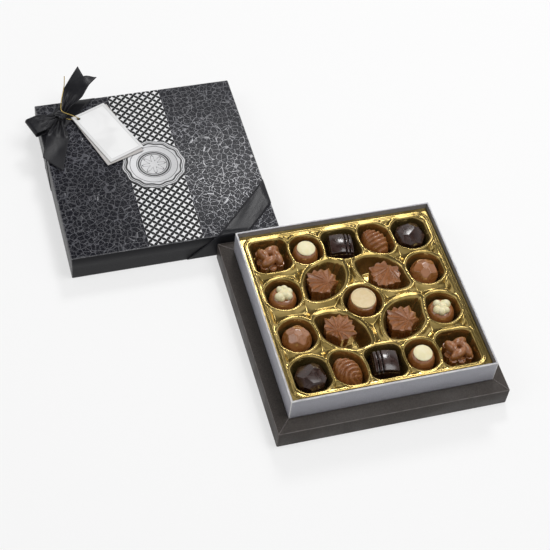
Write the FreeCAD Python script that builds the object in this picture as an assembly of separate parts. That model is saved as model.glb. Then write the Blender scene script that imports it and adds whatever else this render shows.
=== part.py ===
import FreeCAD, Part
import math
import os

from FreeCAD import Rotation, Vector

# A square gift box of chocolates, opened: the filled base stands on the table and the lid,
# taken off with its ribbon and tag, lies behind it to the left.
# Millimetres. Origin at the middle of the base's underside, +X to the right, +Y to the back, +Z up.

# Plinth: four mitred hollow rails round a bottom board
flange_side = 250.0
flange_height = 23.0
bevel_rise = 4.5
rail_board = 2.5
bottom_board = 2.5
mitre_gap = 0.4

# Neck tray: a folded carton glued inside the rails
plinth_ledge = 14.5
tray_rim_height = 56.0
tray_wall = 2.0
tray_floor = 1.5
tray_clearance = 0.3
seam_width = 0.5
seam_depth = 0.7

# Platform: an upside-down card tray that carries the insert
platform_top = 28.5
platform_board = 1.5
platform_clearance = 0.6

# Insert: one gold sheet drawn down into nineteen pockets
sheet = 0.8
deck_drop = 6.5
insert_clearance = 0.6
land_drop = 5.0
border_width = 6.0
pocket_gap = 1.6
pocket_draft = 3.6
pocket_rim_width = 1.2
pocket_rim_height = 1.0
bead_inset = 2.0
bead_width = 1.8
bead_height = 1.4
bead_corner = 11.0
praline_seat = 0.3

# Pralines
knot_reach = 17.0
knot_foot_radius = 12.0
knot_foot_height = 9.0
knot_strand_radius = 6.8
knot_strand_length = 11.6
knot_strand_shift = 3.2
knot_strand_offset = 7.2
knot_strand_height = 16.2
knot_drop_radius = 5.4
knot_dimple_radius = 1.9
knot_pocket_corner = 9.0

cup_foot_radius = 12.0
cup_belly_radius = 14.2
cup_top_radius = 10.2
cup_height = 20.5
cap_radius = 10.0
cap_edge = 1.4
cap_rise = 1.3

block_half = 15.0
block_top_half = 12.6
block_height = 23.0
block_corner = 4.0
block_top_fillet = 3.0
block_groove_radius = 1.3
block_pocket_corner = 6.0

swirl_half_length = 18.5
swirl_half_width = 13.4
swirl_tip_radius = 5.0
swirl_height = 24.0
swirl_crown_radius = 23.5
swirl_groove_width = 1.7
swirl_groove_depth = 1.6
swirl_groove_pitch = 4.9

gem_radius = 17.0
gem_height = 23.0

ball_radius = 15.6
ball_sink = 5.8
ball_facet_reach = 14.2

leaf_reach = 19.0
leaf_height = 24.0
leaf_tip_height = 20.5
leaf_notch_height = 18.5
leaf_pocket_half_length = 28.0
leaf_pocket_half_width = 16.5
leaf_pocket_tip = 4.0
leaf_pocket_shift = 4.0

egg_foot_radius = 11.5
egg_belly_radius = 14.8
egg_top_radius = 10.0
egg_height = 18.5
blossom_lobe_radius = 4.4
blossom_ring_radius = 6.2
blossom_heart_radius = 5.5
blossom_lobe_lift = 0.5

drum_radius = 15.2
drum_height = 22.0
drum_fillet = 2.0
coin_radius = 13.2
coin_thickness = 2.2
coin_rim_width = 1.3
coin_dish = 0.6

# Lid: a board shell covered with embossed paper
lid_clearance = 1.5
lid_wall = 3.0
lid_top_board = 2.5
lid_wrap = 0.5
lid_head_gap = 0.8
lid_gap = 3.0
lid_shift_left = 170.0
lattice_width = 60.0
lattice_thickness = 0.3
lattice_margin = 1.0

# Seal: a pressed foil medal with a scalloped edge
seal_radius = 36.5
seal_scallop = 1.6
seal_thickness = 0.5
seal_ring_height = 0.35
seal_ring_width = 1.4
seal_petal_width = 3.6

# Ribbon: two bands over opposite corners, their ends turned in under the rim, and a bow at the rear one
ribbon_width = 25.0
ribbon_thickness = 0.5
ribbon_corner_reach = 52.0
ribbon_turn_in = 12.0
knot_radius = 7.4
knot_height = 9.0
knot_fillet = 3.2
bow_gap = 0.4
bow_neck = 8.0
upper_tail_length = 56.0
upper_tail_rise = 19.0
upper_tail_start = 5.0
upper_tail_bow = 4.0
upper_tail_notch = 8.0
lower_tail_length = 60.0
lower_tail_start = 4.0
lower_tail_end = 2.2
lower_tail_bow = 1.6
lower_tail_slant = 9.0
loop_length = 24.0
loop_height = 6.0

# Gift tag: two cards on a gold string
tag_width = 44.0
tag_length = 82.0
tag_margin = 2.0
tag_card = 0.6
tag_hole_inset = 6.0
tag_hole_radius = 2.2
tag_hole_right = 19.5
tag_hole_front = 6.5
tag_lift = 0.4
string_diameter = 1.0

overrun = 5.0

# Directions in degrees, and counts
upper_tail_heading = 50.0
lower_tail_heading = -107.0
loop_heading = -161.0
tag_heading = -68.0
tag_fan = -3.5
knot_strand_tilt = 16.0
gem_side_slope = 38.0
gem_corner_slope = 60.0
gem_table_slope = 80.0
gem_table_azimuth = 60.0
ball_low_slope = 26.0
ball_high_slope = 60.0
seal_lobes = 12
seal_petals = 8
blossom_lobes = 6
swirl_grooves = 5
full_turn = 360.0

# Shares of the piece that carries them
cup_belly_share = 0.42
egg_belly_share = 0.45
block_groove_shares = (0.34, 0.68)
gem_side_share = 0.83
gem_corner_share = 0.76
gem_table_share = 0.47
seal_ring_shares = (0.88, 0.62)
seal_petal_reach_share = 0.2
seal_petal_place_share = 0.29
seal_petal_tip_share = 0.12
tail_spread_share = 0.45
loop_spread_share = 0.6
string_arc_share = 0.45

# What follows from the sizes above
flange_half = flange_side / 2
tray_half = flange_half - plinth_ledge
tray_inner_half = tray_half - tray_wall
rail_depth = plinth_ledge - tray_clearance
insert_half = tray_inner_half - insert_clearance
deck_top = tray_rim_height - deck_drop
land_top = deck_top - land_drop
pocket_floor = platform_top + sheet
praline_base = pocket_floor + praline_seat
lid_inner_half = tray_half + lid_clearance
lid_board_half = lid_inner_half + lid_wall
lid_half = lid_board_half + lid_wrap
lid_seat = flange_height + bevel_rise * (flange_half - lid_inner_half) / rail_depth
lid_depth = tray_rim_height + lid_head_gap - lid_seat
lid_rim = ribbon_thickness
lid_top = lid_rim + lid_depth + lid_top_board + lid_wrap
lid_place = Vector(-lid_shift_left, flange_half + lid_gap + lid_half, 0)
seal_base = lid_top + lattice_thickness
seal_top = seal_base + seal_thickness + seal_ring_height
tag_back_base = seal_top + tag_lift
tag_front_base = tag_back_base + tag_card + tag_lift
bow_centre = Vector(-lid_half + ribbon_corner_reach / 2, lid_half - ribbon_corner_reach / 2, 0)
knot_base = lid_top + ribbon_thickness
tag_hole = bow_centre + Vector(tag_hole_right, -tag_hole_front, 0)

# Which praline lies where, as shares of the insert's half side, with its turn in degrees
column_share = 0.74
inner_column_share = 0.37
row_share = 0.727
praline_place_shares = [
    ("knot", -column_share, row_share, 20),
    ("cup", -inner_column_share, row_share, 0),
    ("block", 0, row_share, -8),
    ("swirl", inner_column_share, row_share, 118),
    ("gem", column_share, row_share, 12),
    ("egg", -column_share, 0.237, 10),
    ("leaf", -0.318, 0.300, 44),
    ("leaf", 0.326, 0.274, 138),
    ("ball", column_share, 0.262, 0),
    ("drum", 0, 0, 0),
    ("ball", -column_share, -0.262, 180),
    ("leaf", -0.326, -0.274, -42),
    ("leaf", 0.318, -0.300, 44),
    ("egg", column_share, -0.237, 190),
    ("gem", -column_share, -row_share, 192),
    ("swirl", -inner_column_share, -row_share, 298),
    ("block", 0, -row_share, 172),
    ("cup", inner_column_share, -row_share, 180),
    ("knot", column_share, -row_share, 200),
]

# Leaf outline: each tip's angle in degrees with its share of the reach; a notch lies between two tips
leaf_tip_shares = [
    (90, 1.0), (47, 0.92), (14, 1.0), (-24, 0.86), (-64, 0.66),
    (-116, 0.66), (-156, 0.86), (166, 1.0), (133, 0.92),
]
leaf_notch_share = 0.80
leaf_foot_share = 0.88

# Route of the gold string from its free tip to the bow, through the tag and back, from the lid's middle
# and top face
string_route = [
    (-77.0, 131.0, 26.0),
    (-78.5, 121.5, 23.5),
    (-82.0, 112.5, 20.0),
    (-85.5, 104.5, 15.5),
    (-87.5, 98.0, 11.9),
    (-88.2, 92.6, 10.0),
    (-84.4, 88.4, 10.0),
    (-77.5, 85.6, 8.0),
    (-73.0, 84.2, 6.0),
    (-70.0, 83.0, 4.4),
    (-70.0, 83.0, 1.02),
    (-73.8, 84.6, 1.02),
    (-83.1, 87.4, 1.04),
]


def box(x0, y0, z0, x1, y1, z1):
    """A block between two opposite corners."""
    return Part.makeBox(x1 - x0, y1 - y0, z1 - z0, Vector(x0, y0, z0))


def square_prism(half, z0, z1):
    """A square block on the origin's upright axis."""
    return box(-half, -half, z0, half, half, z1)


def polygon(points):
    """A closed wire through the points."""
    return Part.makePolygon(list(points) + [points[0]])


def slab(points, thickness):
    """A flat outline given a thickness vector."""
    return Part.Face(polygon(points)).extrude(thickness)


def spun(shape, degrees):
    """A copy turned about the upright axis."""
    copy = shape.copy()
    copy.rotate(Vector(0, 0, 0), Vector(0, 0, 1), degrees)
    return copy


def moved(shape, offset):
    """A copy moved by a vector."""
    copy = shape.copy()
    copy.translate(offset)
    return copy


def heading(degrees):
    """The level unit vector that points along a compass angle."""
    return Rotation(Vector(0, 0, 1), degrees).multVec(Vector(1, 0, 0))


def rounded_square(half, corner, z):
    """A square outline with round corners."""
    straight = half - corner
    edges = []
    for quarter in range(4):
        turn = Rotation(Vector(0, 0, 1), 90 * quarter)
        centre = Vector(straight, straight, 0)
        start = centre + heading(0) * corner
        middle = centre + heading(45) * corner
        end = centre + heading(90) * corner
        ahead = Vector(-straight, half, 0)
        lift = Vector(0, 0, z)
        arc = [turn.multVec(p) + lift for p in (start, middle, end, ahead)]
        edges.append(Part.Arc(*arc[:3]).toShape())
        edges.append(Part.LineSegment(arc[2], arc[3]).toShape())
    return Part.Wire(edges)


def almond(half_length, half_width, tip, z):
    """A pointed oval along X: two wide arcs that run into two small round tips."""
    tip_x = half_length - tip
    drop = (tip_x ** 2 - (half_width - tip) ** 2) / (2 * (half_width - tip))
    reach = math.hypot(tip_x, drop)
    meet = Vector(tip_x + tip * tip_x / reach, tip * drop / reach, z)
    right, left = Vector(half_length, 0, z), Vector(-half_length, 0, z)
    back, front = Vector(0, half_width, z), Vector(0, -half_width, z)
    corner = [Vector(sx * meet.x, sy * meet.y, z) for sx, sy in ((1, 1), (-1, 1), (-1, -1), (1, -1))]
    arcs = [
        Part.Arc(corner[0], back, corner[1]),
        Part.Arc(corner[1], left, corner[2]),
        Part.Arc(corner[2], front, corner[3]),
        Part.Arc(corner[3], right, corner[0]),
    ]
    return Part.Wire([arc.toShape() for arc in arcs])


def circle(radius, z):
    """A level circle."""
    return Part.Wire(Part.makeCircle(radius, Vector(0, 0, z)))


def lofted(wires):
    """A solid through level outlines of one kind, with straight sides."""
    return Part.makeLoft(wires, True, True)


def turned(points, arcs):
    """A solid of revolution: points (radius, height) joined by lines, or by an arc through arcs[i]."""
    edges = []
    for index in range(len(points)):
        start, end = points[index], points[(index + 1) % len(points)]
        a, b = Vector(start[0], 0, start[1]), Vector(end[0], 0, end[1])
        if index in arcs:
            edges.append(Part.Arc(a, Vector(arcs[index][0], 0, arcs[index][1]), b).toShape())
        else:
            edges.append(Part.LineSegment(a, b).toShape())
    return Part.Face(Part.Wire(edges)).revolve(Vector(0, 0, 0), Vector(0, 0, 1), full_turn)


def cut_facet(shape, azimuth, elevation, distance, centre):
    """Cuts off what lies past a plane that faces the given way, at a distance from the centre."""
    size = shape.BoundBox.DiagonalLength
    block = Part.makeBox(size + size, size + size, size, Vector(-size, -size, distance))
    block.rotate(Vector(0, 0, 0), Vector(0, 1, 0), 90 - elevation)
    block.rotate(Vector(0, 0, 0), Vector(0, 0, 1), azimuth)
    block.translate(centre)
    return shape.cut(block)


# Plinth and neck
def rail(quarter):
    """One hollow side of the plinth: an outer wall, a bevelled top and an inner leg, mitred at both ends."""
    slope = bevel_rise / rail_depth
    crest = flange_height + bevel_rise
    leg = rail_depth - tray_wall
    profile = [
        (0, 0), (0, flange_height), (rail_depth, crest), (rail_depth, bottom_board),
        (leg, bottom_board), (leg, flange_height + slope * leg - rail_board),
        (rail_board, flange_height + slope * rail_board - rail_board), (rail_board, 0),
    ]
    points = [Vector(-flange_half, -flange_half + u, z) for u, z in profile]
    bar = slab(points, Vector(flange_side, 0, 0))
    inner = flange_half - rail_depth
    cut = mitre_gap / 2
    plan = [
        Vector(-flange_half + cut, -flange_half, -overrun), Vector(flange_half - cut, -flange_half, -overrun),
        Vector(inner - cut, -inner, -overrun), Vector(-inner + cut, -inner, -overrun),
    ]
    return spun(bar.common(slab(plan, Vector(0, 0, crest + overrun + overrun))), 90 * quarter)


def neck_tray():
    """The silver carton: a floor and four walls, with a glued seam down each corner of the two sides."""
    tray = square_prism(tray_half, bottom_board, tray_rim_height)
    tray = tray.cut(square_prism(tray_inner_half, bottom_board + tray_floor, tray_rim_height + overrun))
    for sx in (-1, 1):
        for sy in (-1, 1):
            x0, x1 = sorted((sx * (tray_half - seam_depth), sx * (tray_half + overrun)))
            y0, y1 = sorted((sy * (tray_half - tray_wall), sy * (tray_half - tray_wall - seam_width)))
            tray = tray.cut(box(x0, y0, bottom_board - overrun, x1, y1, tray_rim_height + overrun))
    return tray


def platform():
    """A card panel with four legs folded down, standing on the carton's floor."""
    half = tray_inner_half - platform_clearance
    low = bottom_board + tray_floor
    shell = square_prism(half, low, platform_top)
    return shell.cut(square_prism(half - platform_board, low - overrun, platform_top - platform_board))


# Pralines, each standing on the origin
def knot_praline():
    """Four short strands that tuck under each other round a dimple and hang down over a round foot."""
    body = Part.makeCylinder(knot_foot_radius, knot_foot_height)
    half = knot_strand_length / 2
    for quarter in range(4):
        start = Vector(-half, 0, 0)
        strand = Part.makeCylinder(knot_strand_radius, knot_strand_length, start, Vector(1, 0, 0))
        strand = strand.fuse(Part.makeSphere(knot_strand_radius, start))
        strand = strand.fuse(Part.makeSphere(knot_strand_radius, Vector(half, 0, 0)))
        strand.rotate(Vector(0, 0, 0), Vector(0, 1, 0), knot_strand_tilt)
        strand.translate(Vector(knot_strand_shift, knot_strand_offset, knot_strand_height))
        core = Part.makeCylinder(knot_strand_radius, knot_strand_height - knot_foot_height / 2,
                                 Vector(knot_strand_shift, knot_strand_offset, knot_foot_height / 2))
        drop = Part.makeCylinder(knot_drop_radius, knot_strand_height,
                                 Vector(knot_strand_shift + half, knot_strand_offset, 0))
        body = body.fuse([spun(s, 90 * quarter) for s in (strand, core, drop)])
    low = Vector(0, 0, knot_foot_height)
    dimple = Part.makeCylinder(knot_dimple_radius, knot_strand_height + overrun, low)
    return body.cut(dimple).removeSplitter()


def cup_praline():
    """A round bellied cup with a flat top for its white cap."""
    return turned(
        [(0, 0), (cup_foot_radius, 0), (cup_top_radius, cup_height), (0, cup_height)],
        {1: (cup_belly_radius, cup_height * cup_belly_share)},
    )


def white_cap():
    """The low domed cap on a cup praline."""
    crown = cap_edge + cap_rise
    bend = (cap_radius ** 2 + cap_rise ** 2) / (2 * cap_rise)
    halfway = math.asin(cap_radius / bend) / 2
    middle = (bend * math.sin(halfway), crown - bend + bend * math.cos(halfway))
    cap = turned([(0, 0), (cap_radius, 0), (cap_radius, cap_edge), (0, crown)], {2: middle})
    return moved(cap, Vector(0, 0, cup_height))


def block_praline():
    """A square dark block, drawn in to the top, with soft top edges and two grooves near one side."""
    body = lofted([rounded_square(block_half, block_corner, 0),
                   rounded_square(block_top_half, block_corner, block_height)])
    rim = [e for e in body.Edges if min(v.Z for v in e.Vertexes) > block_height - block_top_fillet / 2]
    body = body.makeFillet(block_top_fillet, rim)
    for share in block_groove_shares:
        start = Vector(block_top_half * share, -block_half, block_height)
        body = body.cut(Part.makeCylinder(block_groove_radius, block_half * 2, start, Vector(0, 1, 0)))
    return body


def swirl_praline():
    """An oval dome with curved grooves nested about one tip."""
    middle = swirl_height - swirl_crown_radius
    oval = Part.Face(almond(swirl_half_length, swirl_half_width, swirl_tip_radius, 0))
    prism = oval.extrude(Vector(0, 0, swirl_height + overrun))
    outer = prism.common(Part.makeSphere(swirl_crown_radius, Vector(0, 0, middle)))
    core = prism.common(Part.makeSphere(swirl_crown_radius - swirl_groove_depth, Vector(0, 0, middle)))
    focus = Vector(swirl_half_length - swirl_tip_radius, 0, -overrun)
    tall = swirl_height + overrun + overrun
    for ring in range(1, swirl_grooves + 1):
        radius = swirl_groove_pitch * ring
        groove = Part.makeCylinder(radius + swirl_groove_width / 2, tall, focus)
        groove = groove.cut(Part.makeCylinder(radius - swirl_groove_width / 2, tall, focus))
        outer = outer.cut(groove)
    return core.fuse(outer).removeSplitter()


def gem_praline():
    """An eight-sided dark block with sloping facets that meet in a slanting table."""
    points = [heading(45 * i + 22.5) * gem_radius for i in range(8)]
    body = slab(points, Vector(0, 0, gem_height))
    centre = Vector(0, 0, gem_height / 2)
    for azimuth in range(0, 360, 90):
        body = cut_facet(body, azimuth, gem_side_slope, gem_radius * gem_side_share, centre)
        body = cut_facet(body, azimuth + 45, gem_corner_slope, gem_radius * gem_corner_share, centre)
    return cut_facet(body, gem_table_azimuth, gem_table_slope, gem_height * gem_table_share, centre)


def ball_praline():
    """A ball sunk on a flat foot, with flat facets cut round it in two rings and one on top."""
    centre = Vector(0, 0, ball_radius - ball_sink)
    body = Part.makeSphere(ball_radius, centre)
    body = cut_facet(body, 0, -90, centre.z, centre)
    for step in range(5):
        body = cut_facet(body, 72 * step, ball_low_slope, ball_facet_reach, centre)
        body = cut_facet(body, 72 * step + 36, ball_high_slope, ball_facet_reach, centre)
    return cut_facet(body, 0, 90, ball_facet_reach, centre)


def leaf_praline():
    """A notched leaf whose ribs run from its raised middle to its tips."""
    outline = []
    for index, (angle, share) in enumerate(leaf_tip_shares):
        next_angle, next_share = leaf_tip_shares[(index + 1) % len(leaf_tip_shares)]
        gap = ((next_angle - angle) + 180) % 360 - 180
        notch = leaf_notch_share * (share + next_share) / 2
        tip = heading(angle) * (leaf_reach * share)
        dip = heading(angle + gap / 2) * (leaf_reach * notch)
        outline.append(tip + Vector(0, 0, leaf_tip_height))
        outline.append(dip + Vector(0, 0, leaf_notch_height))
    foot = [Vector(p.x * leaf_foot_share, p.y * leaf_foot_share, 0) for p in outline]
    crown = Vector(0, 0, leaf_height)
    faces = [Part.Face(polygon(foot))]
    for index in range(len(outline)):
        after = (index + 1) % len(outline)
        faces.append(Part.Face(polygon([outline[index], outline[after], crown])))
        faces.append(Part.Face(polygon([outline[index], foot[index], foot[after]])))
        faces.append(Part.Face(polygon([outline[index], foot[after], outline[after]])))
    return Part.Solid(Part.makeShell(faces))


def egg_praline():
    """A round bellied body with a flat top for its white blossom."""
    return turned(
        [(0, 0), (egg_foot_radius, 0), (egg_top_radius, egg_height), (0, egg_height)],
        {1: (egg_belly_radius, egg_height * egg_belly_share)},
    )


def white_blossom():
    """Round petals about a heart, flat underneath."""
    flower = Part.makeSphere(blossom_heart_radius, Vector(0, 0, 0))
    for lobe in range(blossom_lobes):
        centre = heading(full_turn / blossom_lobes * lobe) * blossom_ring_radius
        centre += Vector(0, 0, blossom_lobe_lift)
        flower = flower.fuse(Part.makeSphere(blossom_lobe_radius, centre))
    size = blossom_heart_radius + blossom_ring_radius
    flower = flower.cut(box(-size, -size, -size, size, size, 0))
    return moved(flower.removeSplitter(), Vector(0, 0, egg_height))


def drum_praline():
    """A straight round drum with soft edges."""
    drum = Part.makeCylinder(drum_radius, drum_height)
    rims = [e for e in drum.Edges if len(e.Vertexes) == 1]
    return drum.makeFillet(drum_fillet, rims)


def caramel_coin():
    """A flat round plate with a raised edge on the drum praline."""
    coin = Part.makeCylinder(coin_radius, coin_thickness)
    dish_base = Vector(0, 0, coin_thickness - coin_dish)
    dish = Part.makeCylinder(coin_radius - coin_rim_width, coin_dish, dish_base)
    return moved(coin.cut(dish), Vector(0, 0, drum_height))


praline_makers = {
    "knot": knot_praline,
    "cup": cup_praline,
    "block": block_praline,
    "swirl": swirl_praline,
    "gem": gem_praline,
    "ball": ball_praline,
    "leaf": leaf_praline,
    "egg": egg_praline,
    "drum": drum_praline,
}
topping_makers = {
    "cup": ("white_cap", white_cap),
    "egg": ("white_blossom", white_blossom),
    "drum": ("caramel_coin", caramel_coin),
}


# Insert
def pocket_outline(kind, grow, z):
    """A pocket's outline: the praline's plan, grown by a distance; a leaf's runs on past one side of it."""
    round_reach = {
        "cup": cup_belly_radius,
        "gem": gem_radius,
        "ball": ball_radius,
        "egg": egg_belly_radius,
        "drum": drum_radius,
    }
    if kind in round_reach:
        return circle(round_reach[kind] + grow, z)
    if kind == "leaf":
        oval = almond(leaf_pocket_half_length + grow, leaf_pocket_half_width + grow,
                      leaf_pocket_tip + grow, z)
        return moved(oval, Vector(leaf_pocket_shift, 0, 0))
    if kind == "swirl":
        return almond(swirl_half_length + grow, swirl_half_width + grow, swirl_tip_radius + grow, z)
    if kind == "block":
        return rounded_square(block_half + grow, block_pocket_corner + grow, z)
    return rounded_square(knot_reach + grow, knot_pocket_corner + grow, z)


def pocket_turn(kind, turn):
    """The angle of a pocket: square ones stay square to the box, long ones follow their praline."""
    return turn if kind in ("leaf", "swirl") else 0


def placed(shape, x_share, y_share, turn, z):
    """A shape turned and set on one of the insert's places."""
    return moved(spun(shape, turn), Vector(x_share * insert_half, y_share * insert_half, z))


def gold_insert():
    """A sunk deck in a raised border with a bead and a skirt, and a rimmed cup for each praline."""
    recess_half = insert_half - border_width
    body = square_prism(insert_half, platform_top, deck_top)
    body = body.cut(square_prism(recess_half, land_top, deck_top + overrun))
    under = square_prism(insert_half - sheet, platform_top - overrun, deck_top - sheet)
    body = body.cut(under.cut(square_prism(recess_half + sheet, land_top - sheet, deck_top)))
    bead_half = insert_half - bead_inset
    bead = Part.Face(rounded_square(bead_half, bead_corner, deck_top))
    bead = bead.cut(Part.Face(rounded_square(bead_half - bead_width, bead_corner - bead_width, deck_top)))
    body = body.fuse(bead.extrude(Vector(0, 0, bead_height)))
    hollows = []
    wide = pocket_gap + pocket_draft
    for kind, x_share, y_share, turn in praline_place_shares:
        angle = pocket_turn(kind, turn)
        cup = lofted([pocket_outline(kind, pocket_gap + sheet, platform_top),
                      pocket_outline(kind, wide + sheet, deck_top)])
        rim = Part.Face(pocket_outline(kind, wide + pocket_rim_width, land_top - sheet))
        rim = rim.extrude(Vector(0, 0, sheet + land_drop + pocket_rim_height))
        hollow = lofted([pocket_outline(kind, pocket_gap, pocket_floor),
                         pocket_outline(kind, wide, deck_top)])
        mouth = Part.Face(pocket_outline(kind, wide, deck_top))
        mouth = mouth.extrude(Vector(0, 0, pocket_rim_height + overrun))
        body = body.fuse(placed(cup.fuse(rim), x_share, y_share, angle, 0))
        hollows.append(placed(hollow.fuse(mouth), x_share, y_share, angle, 0))
    for hollow in hollows:
        body = body.cut(hollow)
    return body.removeSplitter()


# Lid
def lid_board():
    """The grey board shell of the lid, open below."""
    high = lid_top - lid_wrap
    return square_prism(lid_board_half, lid_rim, high).cut(
        square_prism(lid_inner_half, lid_rim - overrun, high - lid_top_board))


def lid_cover():
    """The dark embossed paper glued over the board's top and sides."""
    return square_prism(lid_half, lid_rim, lid_top).cut(
        square_prism(lid_board_half, lid_rim - overrun, lid_top - lid_wrap))


def lattice_band():
    """The silver strip that crosses the lid from front to back."""
    half = lattice_width / 2
    long = lid_half - lattice_margin
    return box(-half, -long, lid_top, half, long, lid_top + lattice_thickness)


def foil_seal():
    """A thin medal with a scalloped edge, two raised rings and a plain rosette."""
    step = full_turn / seal_lobes
    edges = []
    for lobe in range(seal_lobes):
        points = [heading(step * (lobe + part)) * (seal_radius - dip)
                  for part, dip in ((-0.5, seal_scallop), (0, 0), (0.5, seal_scallop))]
        lift = Vector(0, 0, seal_base)
        edges.append(Part.Arc(*[p + lift for p in points]).toShape())
    medal = Part.Face(Part.Wire(edges)).extrude(Vector(0, 0, seal_thickness))
    top = Vector(0, 0, seal_base + seal_thickness)
    raised = []
    for share in seal_ring_shares:
        radius = seal_radius * share
        ring = Part.makeCylinder(radius, seal_ring_height, top)
        raised.append(ring.cut(Part.makeCylinder(radius - seal_ring_width, seal_ring_height, top)))
    for petal in range(seal_petals):
        leaf = Part.Face(almond(seal_radius * seal_petal_reach_share, seal_petal_width / 2,
                                seal_petal_width * seal_petal_tip_share, 0))
        place = Vector(seal_radius * seal_petal_place_share, 0, top.z)
        leaf = moved(leaf.extrude(Vector(0, 0, seal_ring_height)), place)
        raised.append(spun(leaf, full_turn / seal_petals * petal))
    return medal.fuse(raised)


# Ribbon, in the lid's own frame
def corner_band():
    """A flat band over the rear left corner, down both sides, round the rim and a little way up inside."""
    t = ribbon_thickness
    slant = ribbon_width / math.sqrt(2)
    near, far = ribbon_corner_reach - slant, ribbon_corner_reach + slant
    h = lid_half
    top_points = [
        Vector(-h - t, h - near + t, lid_top), Vector(-h - t, h - far - t, lid_top),
        Vector(-h + far + t, h + t, lid_top), Vector(-h + near - t, h + t, lid_top),
    ]
    over = slab(top_points, Vector(0, 0, t)).common(
        box(-h - t, -h, lid_top, h, h + t, lid_top + t))
    drop = lid_top + t
    side = slab([
        Vector(-h - t, h - near, drop), Vector(-h - t, h - far, drop),
        Vector(-h - t, h - far - drop, 0), Vector(-h - t, h - near - drop, 0),
    ], Vector(t, 0, 0))
    under_run = h - lid_inner_half + t
    under = slab([
        Vector(-h - t, h - near - drop, 0), Vector(-h - t, h - far - drop, 0),
        Vector(-h + under_run, h - far - drop - under_run, 0),
        Vector(-h + under_run, h - near - drop - under_run, 0),
    ], Vector(0, 0, t))
    inside_y = h - drop - under_run
    inside = slab([
        Vector(-lid_inner_half, inside_y - near, 0), Vector(-lid_inner_half, inside_y - far, 0),
        Vector(-lid_inner_half, inside_y - far - ribbon_turn_in, ribbon_turn_in),
        Vector(-lid_inner_half, inside_y - near - ribbon_turn_in, ribbon_turn_in),
    ], Vector(t, 0, 0))
    half_band = [side, under, inside]
    mirror = [s.mirror(Vector(0, 0, 0), Vector(1, 1, 0)) for s in half_band]
    return over.fuse(half_band + mirror).removeSplitter()


def bow_knot():
    """The pulled knot of the bow, a soft barrel on the band."""
    barrel = Part.makeCylinder(knot_radius, knot_height, bow_centre + Vector(0, 0, knot_base))
    return barrel.makeFillet(knot_fillet, [e for e in barrel.Edges if len(e.Vertexes) == 1])


def ribbon_strip(length, start_z, end_z, bow, end_points):
    """A ribbon that leaves the knot along X, bends in one arc and spreads from its neck to its full width."""
    reach = knot_radius + bow_gap
    far = reach + length
    low, high = Vector(reach, 0, start_z), Vector(far, 0, end_z)
    crest = (low + high) / 2 + Vector(0, 0, bow)
    t = Vector(0, 0, ribbon_thickness)
    side = Part.Wire([
        Part.Arc(low, crest, high).toShape(),
        Part.LineSegment(high, high + t).toShape(),
        Part.Arc(high + t, crest + t, low + t).toShape(),
        Part.LineSegment(low + t, low).toShape(),
    ])
    half = ribbon_width / 2
    strip = Part.Face(side).extrude(Vector(0, ribbon_width, 0))
    strip.translate(Vector(0, -half, 0))
    full = reach + length * tail_spread_share
    plan = [Vector(reach, -bow_neck / 2, -overrun), Vector(full, -half, -overrun)]
    plan += [Vector(far - back, y * half, -overrun) for y, back in end_points]
    plan += [Vector(full, half, -overrun), Vector(reach, bow_neck / 2, -overrun)]
    tall = max(start_z, end_z) + abs(bow) + overrun
    return strip.common(slab(plan, Vector(0, 0, tall + overrun + overrun)))


def bow_piece(shape, degrees):
    """A bow piece turned to its heading and set on the knot."""
    return moved(spun(shape, degrees), bow_centre + Vector(0, 0, lid_top))


def upper_tail():
    """The tail that stands up past the back edge, with a notched end."""
    end = [(-1, 0), (0, upper_tail_notch), (1, 0)]
    high = upper_tail_start + upper_tail_rise
    return ribbon_strip(upper_tail_length, upper_tail_start, high, upper_tail_bow, end)


def lower_tail():
    """The tail that lies along the lid's left edge, cut at a slant."""
    end = [(-1, 0), (1, lower_tail_slant)]
    return ribbon_strip(lower_tail_length, lower_tail_start, lower_tail_end, -lower_tail_bow, end)


def bow_loop():
    """The flat loop that reaches the left edge, open along its sides."""
    reach = knot_radius + bow_gap
    low = ribbon_thickness + bow_gap
    radius = loop_height / 2

    def slot(inset):
        """The loop's side outline, drawn in by an inset."""
        r = radius - inset
        a = Vector(reach + r + inset, 0, low + radius)
        b = Vector(reach + loop_length - r - inset, 0, low + radius)
        up = Vector(0, 0, r)
        return Part.Face(Part.Wire([
            Part.LineSegment(a + up, b + up).toShape(),
            Part.Arc(b + up, b + Vector(r, 0, 0), b - up).toShape(),
            Part.LineSegment(b - up, a - up).toShape(),
            Part.Arc(a - up, a - Vector(r, 0, 0), a + up).toShape(),
        ]))

    loop = slot(0).cut(slot(ribbon_thickness)).extrude(Vector(0, ribbon_width, 0))
    loop.translate(Vector(0, -ribbon_width / 2, 0))
    half = ribbon_width / 2
    far = reach + loop_length + overrun
    full = reach + loop_length * loop_spread_share
    plan = [
        Vector(reach, -bow_neck / 2, 0), Vector(full, -half, 0), Vector(far, -half, 0),
        Vector(far, half, 0), Vector(full, half, 0), Vector(reach, bow_neck / 2, 0),
    ]
    return loop.common(slab(plan, Vector(0, 0, loop_height + overrun)))


# Tag and string
def tag_card_at(grow, turn, z):
    """A card that hangs by a hole near its corner, along the tag's heading."""
    x0, y0 = -tag_hole_inset, -tag_hole_inset
    card = box(x0, y0, 0, x0 + tag_length + grow, y0 + tag_width + grow, tag_card)
    card = card.cut(Part.makeCylinder(tag_hole_radius, tag_card))
    return moved(spun(card, tag_heading + turn), tag_hole + Vector(0, 0, z))


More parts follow.
